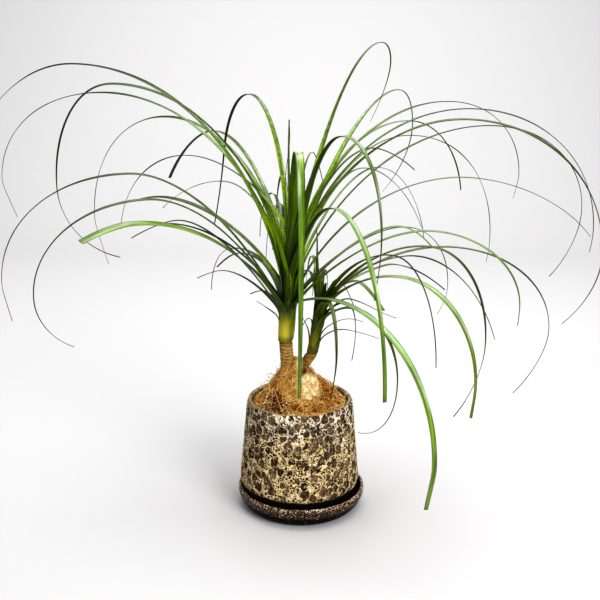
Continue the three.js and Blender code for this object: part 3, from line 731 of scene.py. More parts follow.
def leaf_surface(name, fresh, mid, deep, look):
    """Glossy channelled blade with fine veins, pale where it clasps and dry at its tip; painted
    sheen on upturned upper faces, painted shade on its undersides, one half, margins and the
    hollow.
    """
    material, s, shader = new_material(name)
    across, along, youth = s.parts(s.attribute("blade")["Vector"])
    pale, dry, under = s.parts(s.attribute("blade_age")["Vector"])
    shade = s.attribute("blade_shade")["Fac"]
    painted_sheen = s.attribute("blade_painted_sheen")["Fac"]
    vein = s.streaks(across, along, lines=5.0, run=16.0)
    where = s.node("CombineXYZ", {0: across, 1: s.times(along, 30.0), 2: s.times(youth, 40.0)})
    cloud = s.noise(where.outputs[0], 1.0, detail=2.0)

    age = s.times(youth, s.step(cloud, 0.25, 0.75, 0.72, 1.28), clamp=True)
    colour = s.ramp(age, [(0.0, deep), (0.42, mid), (0.8, fresh), (1.0, look.youngest)])
    colour = s.mix(s.lerp(vein, 0.0, 0.6), colour, deep)
    # painted sheen: upturned upper faces take a pale mint colour, standing in for the lights'
    # reflection
    painted_sheen_share = s.times(s.times(painted_sheen, s.lerp(under, 1.0, 0.1)), s.step(vein, 0.1, 0.9, 0.75, 0.3))
    colour = s.mix(painted_sheen_share, colour, look.painted_sheen)
    # painted shade: the undersides are darkened towards the underside colour
    colour = s.mix(s.times(under, 0.3), colour, look.under)
    # painted shade: one half of each blade is darkened, like a folded blade in side light
    painted_shade_half = s.step(s.plus(across, s.times(cloud, 0.4)), 0.4, 0.1, 0.0, 0.3)
    colour = s.mix(painted_shade_half, colour, deep)
    # painted shade: both margins are darkened towards the edge colour
    rim = s.step(s.maths("ABSOLUTE", across), 0.68, 1.0)
    colour = s.mix(s.times(rim, 0.85), colour, look.edge)
    # painted shade in the hollow among the lowest leaves
    colour = s.mix(shade, colour, look.under)
    sheath = s.mix(s.lerp(vein, 0.0, 0.5), look.sheath, look.sheath_vein)
    colour = s.mix(pale, colour, sheath)
    colour = s.mix(dry, colour, look.dry)

    roughness = s.plus(s.lerp(vein, 0.34, 0.46), s.times(dry, 0.3))
    fixed = {"Specular IOR Level": 0.14, "Coat Roughness": 0.3, "Coat IOR": 1.65}
    finish_surface(s, shader, colour, roughness, vein, depth=0.00014, fixed=fixed)
    wax = s.times(s.lerp(under, 1.0, 0.06), s.step(cloud, 0.25, 0.7, 0.5, 1.0))
    wax = s.times(wax, s.step(youth, 0.0, 0.4, 0.08, 0.8))
    s.feed(wax, shader.inputs["Coat Weight"])
    return material


# ---------------------------------------------------------------------------
# Pot and saucer
# ---------------------------------------------------------------------------

def pot_outline():
    """Closed half section of the pot, from the drainage hole round and back to it."""
    plain, belly, wall, rim = 6 * MM, 0.95 * MM, 0.9 * MM, 1.5 * MM     # spacing of the points
    half = Outline(DRAIN_R, FOOT_Z).line((FOOT_R, FOOT_Z), plain)
    half.bend((BELLY_R - 3.5 * MM, FOOT_Z + 5 * MM), (BELLY_R, BELLY_Z), belly)
    half.line((RIM_R + 1.4 * MM, RIM_Z - 14 * MM), wall)
    half.bend((RIM_R + 0.4 * MM, RIM_Z), (RIM_R - 2.8 * MM, RIM_Z), wall)
    half.bend((INNER_RIM_R + 0.3 * MM, RIM_Z), (INNER_RIM_R + 0.3 * MM, RIM_Z - 4 * MM), wall)
    half.line((INNER_RIM_R + 0.8 * MM, RIM_Z - 9 * MM), rim)
    half.line((INNER_BELLY_R, BELLY_Z), plain)
    inner_corner = (INNER_BELLY_R - 2 * MM, FOOT_Z + BASE + 4 * MM)
    half.bend(inner_corner, (FOOT_R - WALL - 2 * MM, FOOT_Z + BASE), plain)
    half.line((DRAIN_R, FOOT_Z + BASE), 7 * MM)
    return np.array(half.points)


def crater_sites(draws):
    """Cells over the wall: angle, height, size, upright stretch, whether sunk, and shade."""
    jitter, mean_r = 0.42, 70 * MM
    small, large, small_share = (0.62, 1.0), (1.0, 1.35), 0.6
    sunk_small, sunk_large = 0.5, 0.86
    count = round(FULL_TURN * mean_r / CRATER_PITCH)
    sites = []
    for level in np.arange(FOOT_Z, RIM_Z + CRATER_PITCH, CRATER_PITCH):
        for i in range(count):
            angle = FULL_TURN * (i + draws.uniform(-jitter, jitter)) / count
            height = level + draws.uniform(-jitter, jitter) * CRATER_PITCH
            size = draws.uniform(*small) if draws.random() < small_share else draws.uniform(*large)
            sunk = draws.random() < (sunk_small if size < 1 else sunk_large)
            sites.append((angle, height, size, draws.uniform(0.9, 1.5), sunk, draws.random()))
    return np.array(sites)


def around(angle, middle):
    """How far angles lie from a middle one, the short way round."""
    return (angle - middle + math.pi) % FULL_TURN - math.pi


def crater_field(angle, height, radius, draws):
    """How deep each wall point is inside a cell, whether that cell is sunk, and its shade."""
    at_a_time = 6000
    edge_slope, cell_reach = 2.3, 0.62 * CRATER_PITCH
    sites = crater_sites(draws)
    inside = np.zeros(len(angle))
    sunk = np.zeros(len(angle))
    shade = np.zeros(len(angle))
    for start in range(0, len(angle), at_a_time):
        part = slice(start, start + at_a_time)
        sideways = around(angle[part, None], sites[None, :, 0]) * radius[part, None]
        upright = (height[part, None] - sites[None, :, 1]) / sites[None, :, 3]
        away = np.hypot(sideways, upright) / sites[None, :, 2]
        order = np.argpartition(away, 1, axis=1)[:, :2]
        pair = np.take_along_axis(away, order, axis=1)
        nearest = order[np.arange(len(order)), pair.argmin(axis=1)]
        first, second = pair.min(axis=1), pair.max(axis=1)
        flattened = edge_slope * (second - first) / (second + first)
        inside[part] = np.minimum(flattened, 1 - (first / cell_reach) ** 2)
        sunk[part] = sites[nearest, 4]
        shade[part] = sites[nearest, 5]
    return inside, sunk, shade


def build_pot(sizes, material):
    outline = pot_outline()
    rows = len(outline)
    angle, radius, height, flat = turned(outline, sizes.columns)
    row = np.repeat(np.arange(rows), sizes.columns)
    crest = int(outline[:, 1].argmax())
    outer = (row <= crest) & (radius > FOOT_R - 1e-6)

    warp = np.stack([ripple(flat, 150, 3.0), ripple(flat, 150, 9.0)], axis=1) * 2.7 * MM
    fine = np.stack([ripple(flat, 420, 5.0), ripple(flat, 420, 8.0)], axis=1) * 1.3 * MM
    moved = warp + fine
    draws = random.Random(sizes.seed)
    moved_angle, moved_height = angle + moved[:, 0] / radius, height + moved[:, 1]
    inside, sunk, shade = crater_field(moved_angle, moved_height, radius, draws)

    # the glaze starts above the foot, and the smooth lip dips lower at one patch
    glaze_foot = FOOT_Z + GLAZE_START + ripple(flat, 60, 2.0) * 1.5 * MM
    bare = (1 - smooth(height, glaze_foot - 1.2 * MM, glaze_foot + 0.6 * MM)) * outer
    patch_at, patch_reach, patch_drop = math.radians(198), 0.24, 6 * MM
    patch = hump(around(angle, patch_at), 0, patch_reach)
    lip_low = RIM_Z - sizes.lip_band + ripple(flat, 60, 7.0) * 1.2 * MM - patch * patch_drop
    lip = smooth(height, lip_low - 0.8 * MM, lip_low + 0.8 * MM)
    wall = outer * (1 - lip) * (1 - bare)

    # raised brims, sunk bowls and a little roughness, as shares of the relief
    brim_rise, bowl_depth, rough_depth = 0.3, 1.25, 0.45
    bowl = smooth(inside, 0.12, 0.7) * sunk
    brim = hump(inside, 0.1, 0.1)
    rough = ripple(flat, 95, 1.0) * 0.5 + ripple(flat, 330, 4.0) * 0.35
    relief = (brim_rise * brim - bowl_depth * bowl + rough_depth * rough) * sizes.relief * wall
    wobble = ripple(flat, 22, 6.0) * 0.35 * MM * (outer | (height > RIM_Z - 12 * MM))
    radius = radius + relief + wobble
    points = np.stack([POT_X + radius * np.cos(angle), radius * np.sin(angle), height], axis=1)

    values = {
        "crater": np.clip(inside, 0, 1) * sunk * wall,
        "crater_tone": shade,
        "pot_band": np.stack([lip * (row <= crest + 7), bare, (row > crest + 4) * 1.0], axis=1),
    }
    faces = grid_faces(rows, sizes.columns, closed_rows=True)
    piece = place_mesh("glazed_pot", points, faces, material, values, sharp=80)
    return [(piece, "pot", "crater_glaze")]


def saucer_outline():
    """Half section of the saucer, from the middle of its foot round to the middle of its floor."""
    step, foot_step, floor_step = 1.1 * MM, 8 * MM, 5 * MM      # spacing of the points
    half = Outline(1 * MM, 0).line((SAUCER_FOOT_R, 0), foot_step)
    half.bend((SAUCER_FOOT_R + 7 * MM, 3 * MM), (SAUCER_R - 2.5 * MM, 13 * MM), step)
    half.bend((SAUCER_R + 0.6 * MM, 18 * MM), (SAUCER_R - 0.4 * MM, SAUCER_Z - 2.5 * MM), step)
    half.bend((SAUCER_R - 1 * MM, SAUCER_Z), (SAUCER_R - 2.6 * MM, SAUCER_Z), step / 2)
    half.bend((SAUCER_R - 4.4 * MM, SAUCER_Z), (SAUCER_R - 5 * MM, SAUCER_Z - 3 * MM), step / 2)
    floor_r = SAUCER_FLOOR_R
    half.bend((floor_r + 2 * MM, SAUCER_FLOOR_Z + MM), (floor_r - 4 * MM, SAUCER_FLOOR_Z), step)
    half.line((1 * MM, SAUCER_FLOOR_Z), floor_step)
    return np.array(half.points)


def build_saucer(sizes, material):
    outline = saucer_outline()
    angle, radius, height, flat = turned(outline, sizes.columns)
    side = smooth(height, 3 * MM, 9 * MM)
    uneven = ripple(flat, 30, 1.0) * 0.35 + ripple(flat, 260, 2.0) * 0.22
    uneven = uneven * sizes.unevenness * side
    top = smooth(height, SAUCER_Z - 4 * MM, SAUCER_Z) * ripple(flat, 26, 5.0)
    top = top * 0.4 * sizes.unevenness
    radius = radius + uneven
    points = np.stack([radius * np.cos(angle), radius * np.sin(angle), height + top], axis=1)
    faces = capped_faces(len(outline), sizes.columns)
    piece = place_mesh("glazed_saucer", points, faces, material, sharp=70)
    return [(piece, "saucer", "saucer_glaze")]


# ---------------------------------------------------------------------------
# Coconut fibre mulch
# ---------------------------------------------------------------------------

def coir_height(radius, angle):
    """Top of the fibre: flat at the rim and heaped against the trunk, highest at the back left."""
    inward = 1 - radius / INNER_RIM_R
    heap = COIR_RISE * (0.6 + 0.38 * np.cos(angle - COIR_HIGH_SIDE))
    lumps = COIR_LUMPS * np.sin(5 * angle + radius / MM * 0.21)
    lumps = lumps * np.sin(radius / MM * 0.33 + 2 * angle)
    return COIR_EDGE_Z + heap * smooth(inward, 0, 0.65) + lumps * np.minimum(1, 4 * inward)


def fibre_shade(points, draws):
    """Shade of a strand by where it lies: damp at the front left, straw here and there."""
    damp = spot(points[:, 0], points[:, 1], (-34, -33), (13, 15))
    patch = ripple(points, 55, 11.0)
    usual, unevenness = 0.62, draws.normal(0, 0.36, len(points))
    return np.clip(usual + 0.2 * patch - 0.46 * damp + unevenness, 0.02, 1)


def strand_tubes(paths, widths, shades):
    """Three-sided strands along (n, k, 3) paths, tapered to both ends."""
    count, steps, _ = paths.shape
    forward = np.gradient(paths, axis=1)
    forward /= np.linalg.norm(forward, axis=2, keepdims=True) + 1e-12
    side = np.cross(forward, [0.0, 0.0, 1.0])
    side /= np.linalg.norm(side, axis=2, keepdims=True) + 1e-9
    over = np.cross(side, forward)
    along = np.clip(np.linspace(0, 1, steps), 0.03, 0.97)
    taper = np.sqrt(np.clip(np.sin(math.pi * along), 0, 1))
    radius = 0.5 * widths[:, None] * taper[None, :]
    rings = []
    for turn in (FULL_TURN * corner / 3 for corner in range(3)):
        rings.append(paths + (side * math.cos(turn) + over * math.sin(turn)) * radius[:, :, None])
    points = np.stack(rings, axis=2).reshape(-1, 3)

    first = np.arange(count * steps).reshape(count, steps) * 3      # each ring's first point
    here, ahead = first[:, :-1].ravel(), first[:, 1:].ravel()
    edges = ((0, 1), (1, 2), (2, 0))
    sides = [np.stack([here + a, here + b, ahead + b, ahead + a], axis=1) for a, b in edges]
    faces = np.concatenate(sides).tolist()
    faces += [(i, i + 2, i + 1) for i in first[:, 0].tolist()]
    faces += [(i, i + 1, i + 2) for i in first[:, -1].tolist()]

    # each strand's shade, the length along it, and a number that sets its streaks apart
    length = np.cumsum(np.linalg.norm(np.diff(paths, axis=1, prepend=paths[:, :1]), axis=2), axis=1)
    own = shades * 37 % 5
    strand = np.stack([np.repeat(shades, steps), length.ravel(), np.repeat(own, steps)], axis=1)
    return points, faces, {"strand": np.repeat(strand, 3, axis=0)}


def lying_paths(count, steps, length, lift, draws, spread=1.0):
    """Curved strands that lie over the mound, more of them turned along the rim near it."""
    radius = INNER_RIM_R * np.sqrt(draws.uniform(0.03, 0.95 * spread, count))
    angle = draws.uniform(0, FULL_TURN, count)
    along_rim = draws.random(count) < smooth(radius, 30 * MM, 56 * MM) * 0.75
    free = draws.uniform(0, FULL_TURN, count)
    heading = np.where(along_rim, angle + math.pi / 2 + draws.normal(0, 0.35, count), free)
    bend = draws.normal(0, 1.0, count) + np.where(along_rim, 0.5, 0)
    wiggle, phase = draws.normal(0, 0.5, count), draws.uniform(0, 6.28, count)
    span = length * draws.uniform(0.45, 1.35, count)
    share = np.linspace(-0.5, 0.5, steps)
    direction = heading[:, None] + bend[:, None] * share * 1.5
    direction = direction + wiggle[:, None] * np.sin(7 * share + phase[:, None])
    x = np.cumsum(np.cos(direction), axis=1) * (span / steps)[:, None]
    y = np.cumsum(np.sin(direction), axis=1) * (span / steps)[:, None]
    x += (radius * np.cos(angle) - x[:, steps // 2])[:, None]
    y += (radius * np.sin(angle) - y[:, steps // 2])[:, None]
    out = np.hypot(x, y)
    held = np.minimum(out, INNER_RIM_R - 0.9 * MM)
    x, y = x * held / out, y * held / out
    rise = lift * draws.uniform(0.0, 1.0, count)[:, None] * (1 - 2.2 * share ** 2)
    z = coir_height(held, np.arctan2(y, x)) + rise + draws.normal(0, 0.25 * MM, (count, steps))
    return np.stack([x + POT_X, y, z], axis=2)


def paths_on_bulb(angle, z, slope, span, curl, proud, steps):
    """Curved strands that follow the bulb's skin and stand a little proud of it."""
    turn = slope[:, None] + curl[:, None] * np.linspace(-0.5, 0.5, steps)[None]
    stride = (span / steps)[:, None]
    heights = z[:, None] + np.cumsum(np.sin(turn), axis=1) * stride
    radius = bulb_radius(heights) + proud[:, None]
    turns = angle[:, None] + np.cumsum(np.cos(turn), axis=1) * stride / radius
    return np.stack([BULB_X + radius * np.cos(turns), radius * np.sin(turns), heights], axis=2)


def clinging_paths(count, steps, draws):
    """Short strands on the bulb's left and front, thinning out towards its bare right side."""
    angle = np.radians(np.clip(draws.normal(215, 36, count), 110, 270))
    z = 138 * MM + 38 * MM * draws.random(count)
    angle = angle - np.radians(20) * smooth(z, 150 * MM, 172 * MM)
    slope = draws.normal(0.5, 0.8, count)
    span = draws.uniform(8 * MM, 22 * MM, count)
    curl = draws.normal(0, 0.8, count)
    proud = draws.uniform(0.5 * MM, 2.0 * MM, count)
    return paths_on_bulb(angle, z, slope, span, curl, proud, steps)


def skin_paths(count, steps, draws):
    """Fine pale strands over the bulb's bare right side and round its foot."""
    angle = np.radians(draws.uniform(225, 395, count))
    z = 134 * MM + 44 * MM * draws.random(count) ** 1.7
    slope = draws.normal(0.9, 0.7, count) * np.where(draws.random(count) < 0.5, -1, 1)
    span = draws.uniform(7 * MM, 18 * MM, count)
    curl = draws.normal(0, 0.9, count)
    proud = draws.uniform(0.2 * MM, 1.8 * MM, count)
    return paths_on_bulb(angle, z, slope, span, curl, proud, steps)


def tuft_paths(count, steps, draws):
    """Springy strands heaped up at the bulb's right and back, and a few in front of its foot."""
    paths = lying_paths(7 * count, steps, length=26 * MM, lift=15 * MM, draws=draws, spread=0.62)
    middle = paths[:, steps // 2]
    angle = np.degrees(np.arctan2(middle[:, 1], middle[:, 0] - POT_X))
    out = np.hypot(middle[:, 0] - BULB_X, middle[:, 1])
    beside = (angle > -12) & (angle < 80) & (out > BULB_WIDEST_R - 2 * MM)
    before = (angle > -110) & (angle < -12) & (out > BULB_WIDEST_R) & (middle[:, 2] < 146 * MM)
    return paths[beside | before][:count]


def flyaway_paths(count, steps, draws):
    """Loose ends that spring up from the mound, most of them at its two sides."""
    side = np.where(draws.random(count) < 0.55, math.pi, 0)
    at_side = draws.random(count) < 0.7
    by_side, anywhere = side + draws.normal(0, 0.5, count), draws.uniform(0, FULL_TURN, count)
    angle = np.where(at_side, by_side, anywhere)
    radius = draws.uniform(16 * MM, 57 * MM, count)
    heading = draws.uniform(0, FULL_TURN, count)
    slope = draws.uniform(0.4, 1.35, count)
    curl = draws.normal(-1.2, 1.3, count)
    turn = draws.normal(0, 1.2, count)
    span = draws.uniform(9 * MM, 26 * MM, count)
    share = np.linspace(0, 1, steps)
    pitch = slope[:, None] + curl[:, None] * share
    yaw = heading[:, None] + turn[:, None] * share
    level = np.cos(pitch)
    move = np.stack([level * np.cos(yaw), level * np.sin(yaw), np.sin(pitch)], axis=2)
    path = np.cumsum(move, axis=1) * (span / steps)[:, None, None]
    x, y = radius * np.cos(angle), radius * np.sin(angle)
    start = np.stack([x + POT_X, y, coir_height(radius, angle) - 1 * MM], axis=1)
    path = path - path[:, :1] + start[:, None, :]

    # no strand sinks into the mound or the pot's rim
    from_axis = path[:, :, 0] - POT_X
    out = np.hypot(from_axis, path[:, :, 1])
    mound = coir_height(np.minimum(out, INNER_RIM_R), np.arctan2(path[:, :, 1], from_axis))
    least = np.where(out > INNER_RIM_R - MM, RIM_Z + MM, mound - 0.5 * MM)
    path[:, :, 2] = np.maximum(path[:, :, 2], least)
    return path


def coir_mound(draws, material):
    """The lumpy body of fibre under the strands: a foot ring, a rounded edge, then the top, painted
    dark as the shade between the strands.
    """
    columns, sink = 150, 0.8 * MM
    turns = ring_angles(columns)
    radii = np.concatenate([[57.6 * MM, 58.6 * MM], np.linspace(58.3 * MM, 6 * MM, 48)])
    rings = []
    for i, radius in enumerate(radii):
        x, y = radius * np.cos(turns), radius * np.sin(turns)
        z = np.full(columns, COIR_FOOT_Z) if i == 0 else coir_height(radius, turns)
        if i == 1:
            z = z - 1.5 * MM
        if i > 1:
            flat = np.stack([x, y, z], axis=1)
            z = z + (ripple(flat, 210, 2.0) * 0.9 + ripple(flat, 520, 6.0) * 0.6) * MM - sink
        rings.append(np.stack([x + POT_X, y, z], axis=1))
    points = np.concatenate(rings)
    # painted shade: the mound takes a fifth of a strand's shade, for the shade in the gaps between
    # the strands
    shade = fibre_shade(points, draws) * 0.2
    strand = np.stack([shade, points[:, 0] + points[:, 1], points[:, 1] * 40], axis=1)
    faces = capped_faces(len(rings), columns)
    return place_mesh("coir_mound", points, faces, material, {"strand": strand}, sharp=60)


def build_coir(sizes, material, mound_material):
    draws = np.random.default_rng(sizes.seed)
    pieces = [(coir_mound(draws, mound_material), "coir_mulch", "coir")]

    def add(name, paths, widths, shades):
        """Makes a piece of strands, whose widths are shares of the thickest one."""
        points, faces, values = strand_tubes(paths, widths * sizes.thickness, shades)
        piece = place_mesh(name, points, faces, material, values, sharp=180)
        pieces.append((piece, "coir_mulch", "coir"))

    mat = lying_paths(sizes.strands, steps=7, length=30 * MM, lift=2.4 * MM, draws=draws)
    widths = draws.uniform(0.35, 1.0, len(mat))
    add("coir_mat", mat, widths, fibre_shade(mat[:, 3], draws))

    straws = lying_paths(sizes.straws, steps=13, length=58 * MM, lift=3.4 * MM, draws=draws)
    widths = draws.uniform(0.4, 0.7, len(straws))
    add("coir_straws", straws, widths, draws.uniform(0.8, 1.0, len(straws)))

    tuft = tuft_paths(sizes.tuft, steps=7, draws=draws)
    widths = draws.uniform(0.3, 0.8, len(tuft))
    add("coir_tuft", tuft, widths, np.clip(draws.normal(0.62, 0.26, len(tuft)), 0.05, 1))

    skin = skin_paths(sizes.clinging // 4, steps=7, draws=draws)
    wraps = np.concatenate([clinging_paths(sizes.clinging, steps=7, draws=draws), skin])
    widths = draws.uniform(0.3, 0.7, len(wraps))
    add("coir_on_bulb", wraps, widths, np.clip(draws.normal(0.76, 0.2, len(wraps)), 0.05, 1))

    loose = flyaway_paths(sizes.loose_ends, steps=9, draws=draws)
    widths = draws.uniform(0.3, 0.6, len(loose))
    add("coir_loose_ends", loose, widths, np.clip(fibre_shade(loose[:, 0], draws) + 0.1, 0, 1))
    return pieces


# ---------------------------------------------------------------------------
# Bulb, trunk and knee
# ---------------------------------------------------------------------------

def bulb_radius(z):
    """Radius of the bulb at a height: half an ellipse below its widest ring, a shoulder above."""
    depth = (BULB_WIDEST_Z - z) / (BULB_WIDEST_Z - BULB_FOOT_Z)
    low = BULB_WIDEST_R * np.sqrt(np.clip(1 - depth * depth, 0, 1))
    up = np.clip((z - BULB_WIDEST_Z) / (BULB_NECK_Z - BULB_WIDEST_Z), 0, 2)
    high = lerp(BULB_WIDEST_R, BULB_NECK_R, up ** BULB_SHOULDER)
    return np.where(z < BULB_WIDEST_Z, low, high)


def tube_mesh(stations, sides, shape=None):
    """Closed body through round stations (x, y, z, radius), swelled by shape(angles, height)."""
    turns = ring_angles(sides)
    rings = []
    for x, y, z, radius in stations:
        swell = shape(turns, z) if shape else 1
        ring_x, ring_y = x + radius * swell * np.cos(turns), y + radius * swell * np.sin(turns)
        rings.append(np.stack([ring_x, ring_y, np.full(sides, z)], axis=1))
    return np.concatenate(rings), capped_faces(len(rings), sides)


def bulb_folds(turns, z):
    return 1 + 0.025 * np.sin(5 * turns + z / MM * 0.05) + 0.012 * np.sin(11 * turns)


def knee_knots(turns, z):
    return 1 + 0.08 * np.sin(3 * turns + z / MM)


def woody_core():
    """The bulb, trunk and knee as overlapping closed bodies."""
    heights = np.linspace(97 * MM, 190 * MM, 60)
    shift = smooth(heights, 160 * MM, 190 * MM) * -2.5 * MM
    bulb = [(BULB_X + d, 0, z, r) for z, d, r in zip(heights, shift, bulb_radius(heights))]
    trunk = []
    for down in np.arange(TRUNK_SCARS * SCAR_STEP, -1e-6, -1 * MM):
        flare = 1.5 * MM * float(smooth(down, 26 * MM, 40 * MM))
        x = CROWNS["main"]["x0"] * MM - TRUNK_LEAN * down
        trunk.append((x, 0, TRUNK_TOP_Z - down, TRUNK_R + flare))
    knee = [tuple(v * MM for v in station) for station in KNEE]
    bodies = [
        tube_mesh(bulb, sides=64, shape=bulb_folds), tube_mesh(trunk, sides=48),
        tube_mesh(knee, sides=40, shape=knee_knots),
    ]
    return joined(bodies)


def reskin(piece, voxel):
    """Fuses the piece's overlapping bodies into one even skin and returns its new mesh."""
    remesh = piece.modifiers.new("skin", "REMESH")
    remesh.mode = "VOXEL"
    remesh.voxel_size = voxel
    relax = piece.modifiers.new("relax", "SMOOTH")
    relax.factor, relax.iterations = 0.5, 4
    evaluated = piece.evaluated_get(bpy.context.evaluated_depsgraph_get())
    mesh = bpy.data.meshes.new_from_object(evaluated)
    old = piece.data
    piece.modifiers.clear()
    piece.data = mesh
    bpy.data.meshes.remove(old)
    return mesh


def read_vectors(mesh, field):
    """The coordinates or normals of the mesh's points, as an (n, 3) array."""
    flat = np.empty(len(mesh.vertices) * 3)
    mesh.vertices.foreach_get(field, flat)
    return flat.reshape(-1, 3)


def build_caudex(sizes, material):
    piece = place_mesh("corky_stem", *woody_core(), material)
    mesh = reskin(piece, sizes.skin)
    points, normals = read_vectors(mesh, "co"), read_vectors(mesh, "normal")
    x, y, z = points.T

    # how much of each point belongs to the trunk, to the knee and to the bulb
    trunk_x = CROWNS["main"]["x0"] * MM - TRUNK_LEAN * (TRUNK_TOP_Z - z)
    from_trunk = np.hypot(x - trunk_x, y)
    on_trunk = (1 - smooth(from_trunk, 10.5 * MM, 12.5 * MM)) * smooth(z, 168 * MM, 174 * MM)
    on_knee = smooth(x, -3 * MM, 2 * MM) * smooth(z + x * 0.6, 176 * MM, 181 * MM) * (1 - on_trunk)
    bulby = (1 - on_trunk) * (1 - on_knee)

    # rings of leaf scars with finer lines between them, wrinkles and cork
    waver = ripple(points, 85, 2.0) * 1.1 * MM
    ring_phase = (TRUNK_TOP_Z - z + waver) / SCAR_STEP
    scar_line = hump(ring_phase % 1, 0.5, 0.16)
    half_line = hump(ring_phase * 2 % 1, 0.5, 0.2)
    wrinkle = ripple(points * [1, 1, 0.25], 260, 1.0)
    cork = ripple(points, 420, 4.0)
    push = on_trunk * (0.32 * scar_line - 0.22 * half_line + 0.18 * cork)
    push += on_knee * (0.5 * ripple(points, 230, 8.0) + 0.2 * cork)
    push += bulby * (0.35 * wrinkle + 0.12 * cork + 0.3 * ripple(points, 70, 6.0))
    points = points + normals * (push * sizes.relief)[:, None]
    mesh.vertices.foreach_set("co", points.ravel())

    # darker wood: painted shade over the knee's lower end, and dark marks at the knee's tip, round
    # the trunk's two ends and between its scars
    tip = spot(x, z, (1, 177), (4, 4)) * (y < 3 * MM)
    foot_ring = on_trunk * hump(z, 172 * MM, 3 * MM)
    top_ring = on_trunk * smooth(z, 208 * MM, 210 * MM)
    knee_shade = on_knee * (1 - smooth(x, 2 * MM, 9 * MM))
    between = on_trunk * 0.35 * half_line * (cork > 0)
    crack_and_shade = np.clip(0.9 * tip + 0.5 * knee_shade + 0.6 * foot_ring + 0.4 * top_ring + between, 0, 1)
    moss = smooth(z + x * 0.5, 140 * MM, 156 * MM) * (1 - smooth(x, -12 * MM, -3 * MM)) * bulby
    add_values(mesh, {
        "bark": np.stack([np.clip(on_trunk + on_knee, 0, 1), scar_line * on_trunk, crack_and_shade], axis=1),
        "bulb_flush": spot(x, z, (4, 141), (5, 6)) * (y < 0) * 0.7,
        "bulb_moss": moss,
    })
    mesh.shade_smooth()
    mesh.update()
    return [(piece, "caudex", "bark")]


# ---------------------------------------------------------------------------
# Crowns of leaves
# ---------------------------------------------------------------------------

def back_leaves(crown):
    rule = BACK_LEAVES[crown]
    chance = random_from(CROWNS[crown]["seed"])
    leaves = []
    for i in range(rule["count"]):
        turn = (i * GOLDEN_ANGLE / FULL_TURN) % 1
        bearing = lerp(*rule["bearings"], turn)
        size = 0.75 + 0.35 * next(chance)
        reach, rise = rule["reach"] * size, (rule["crest_z"] - rule["root_z"]) * size
        crest_z = rule["root_z"] + rise
        out = reach * (1.9 + 0.3 * next(chance))
        tip_z = crest_z - reach * (0.8 + 0.4 * next(chance))
        width = 6 + 2 * next(chance)
        knots = [(3, rule["root_z"] + 3 * i, 72), (reach, crest_z, 0), (out, tip_z, -80)]
        leaves.append(Leaf(bearing, width, 0, knots))
    return leaves


def bezier(a, b, c, d, t):
    t = t[:, None]
    return (1 - t) ** 3 * a + 3 * t * (1 - t) ** 2 * b + 3 * t * t * (1 - t) * c + t ** 3 * d


def toward(degrees):
    """Direction in a leaf's plane: 0 is level outward and 90 is up."""
    return np.array([math.cos(math.radians(degrees)), math.sin(math.radians(degrees))])


def flat_cross(a, b):
    return a[0] * b[1] - a[1] * b[0]


def leaf_line(knots):
    """Middle line of a leaf in its own plane, as closely spaced (reach, height) points."""
    runs = []
    for (r0, z0, a0), (r1, z1, a1) in zip(knots, knots[1:]):
        start, end = np.array([r0, z0], float), np.array([r1, z1], float)
        out0, out1 = toward(a0), toward(a1)
        chord = end - start
        length = math.hypot(*chord)
        cross = flat_cross(out0, out1)
        reach0 = reach1 = 0.62 * length
        if cross:
            near0, near1 = flat_cross(chord, out1) / cross, flat_cross(out0, chord) / cross
            if 0 < near0 < 3 * length and 0 < near1 < 3 * length:
                reach0, reach1 = near0, near1
        handle0 = start + out0 * BLADE_FULLNESS * reach0
        handle1 = end - out1 * BLADE_FULLNESS * reach1
        run = bezier(start, handle0, handle1, end, np.linspace(0, 1, 60))
        runs.append(run if not runs else run[1:])
    return np.concatenate(runs)


def travelled(points):
    """Distance along the line at each of its points."""
    return np.concatenate([[0], np.cumsum(np.linalg.norm(np.diff(points, axis=0), axis=1))])


def respaced(points, spacing):
    """The same line with evenly spaced points."""
    length = travelled(points)
    count = max(6, round(length[-1] / spacing))
    where = np.linspace(0, length[-1], count + 1)
    return np.stack([np.interp(where, length, column) for column in points.T], axis=1)


def leaf_width(leaf, along):
    """Width at each share of the leaf: broad where it leaves the stem, fine or cut at its tip."""
    clasp = 1 + 0.35 * (1 - smooth(along, 0, 0.18))
    fine = 1.25 * (1 - along) ** 1.35 + 0.12 * (1 - along)
    return leaf.width * clasp * lerp(fine, 1 - 0.35 * along, leaf.tip)


def axis_x(stem, z):
    """Where the leaning stem's axis is at that height."""
    return stem["x0"] + stem["lean"] * (z - stem["z0"])


def lowest_foot(stem):
    """Height at which the lowest blades start to wrap the stem."""
    return stem["sheath"][0][0] + 1.0


def clasp_radius(leaf, stem, z, least):
    """How far from the stem's axis a blade's foot lies: further in for a leaf that roots higher."""
    heights, radii = np.array(stem["sheath"]).T
    stand_off = 0.35 - 0.028 * (leaf.knots[0][1] - lowest_foot(stem) - 28)
    return np.maximum(np.interp(z, heights, radii) + stand_off, least)


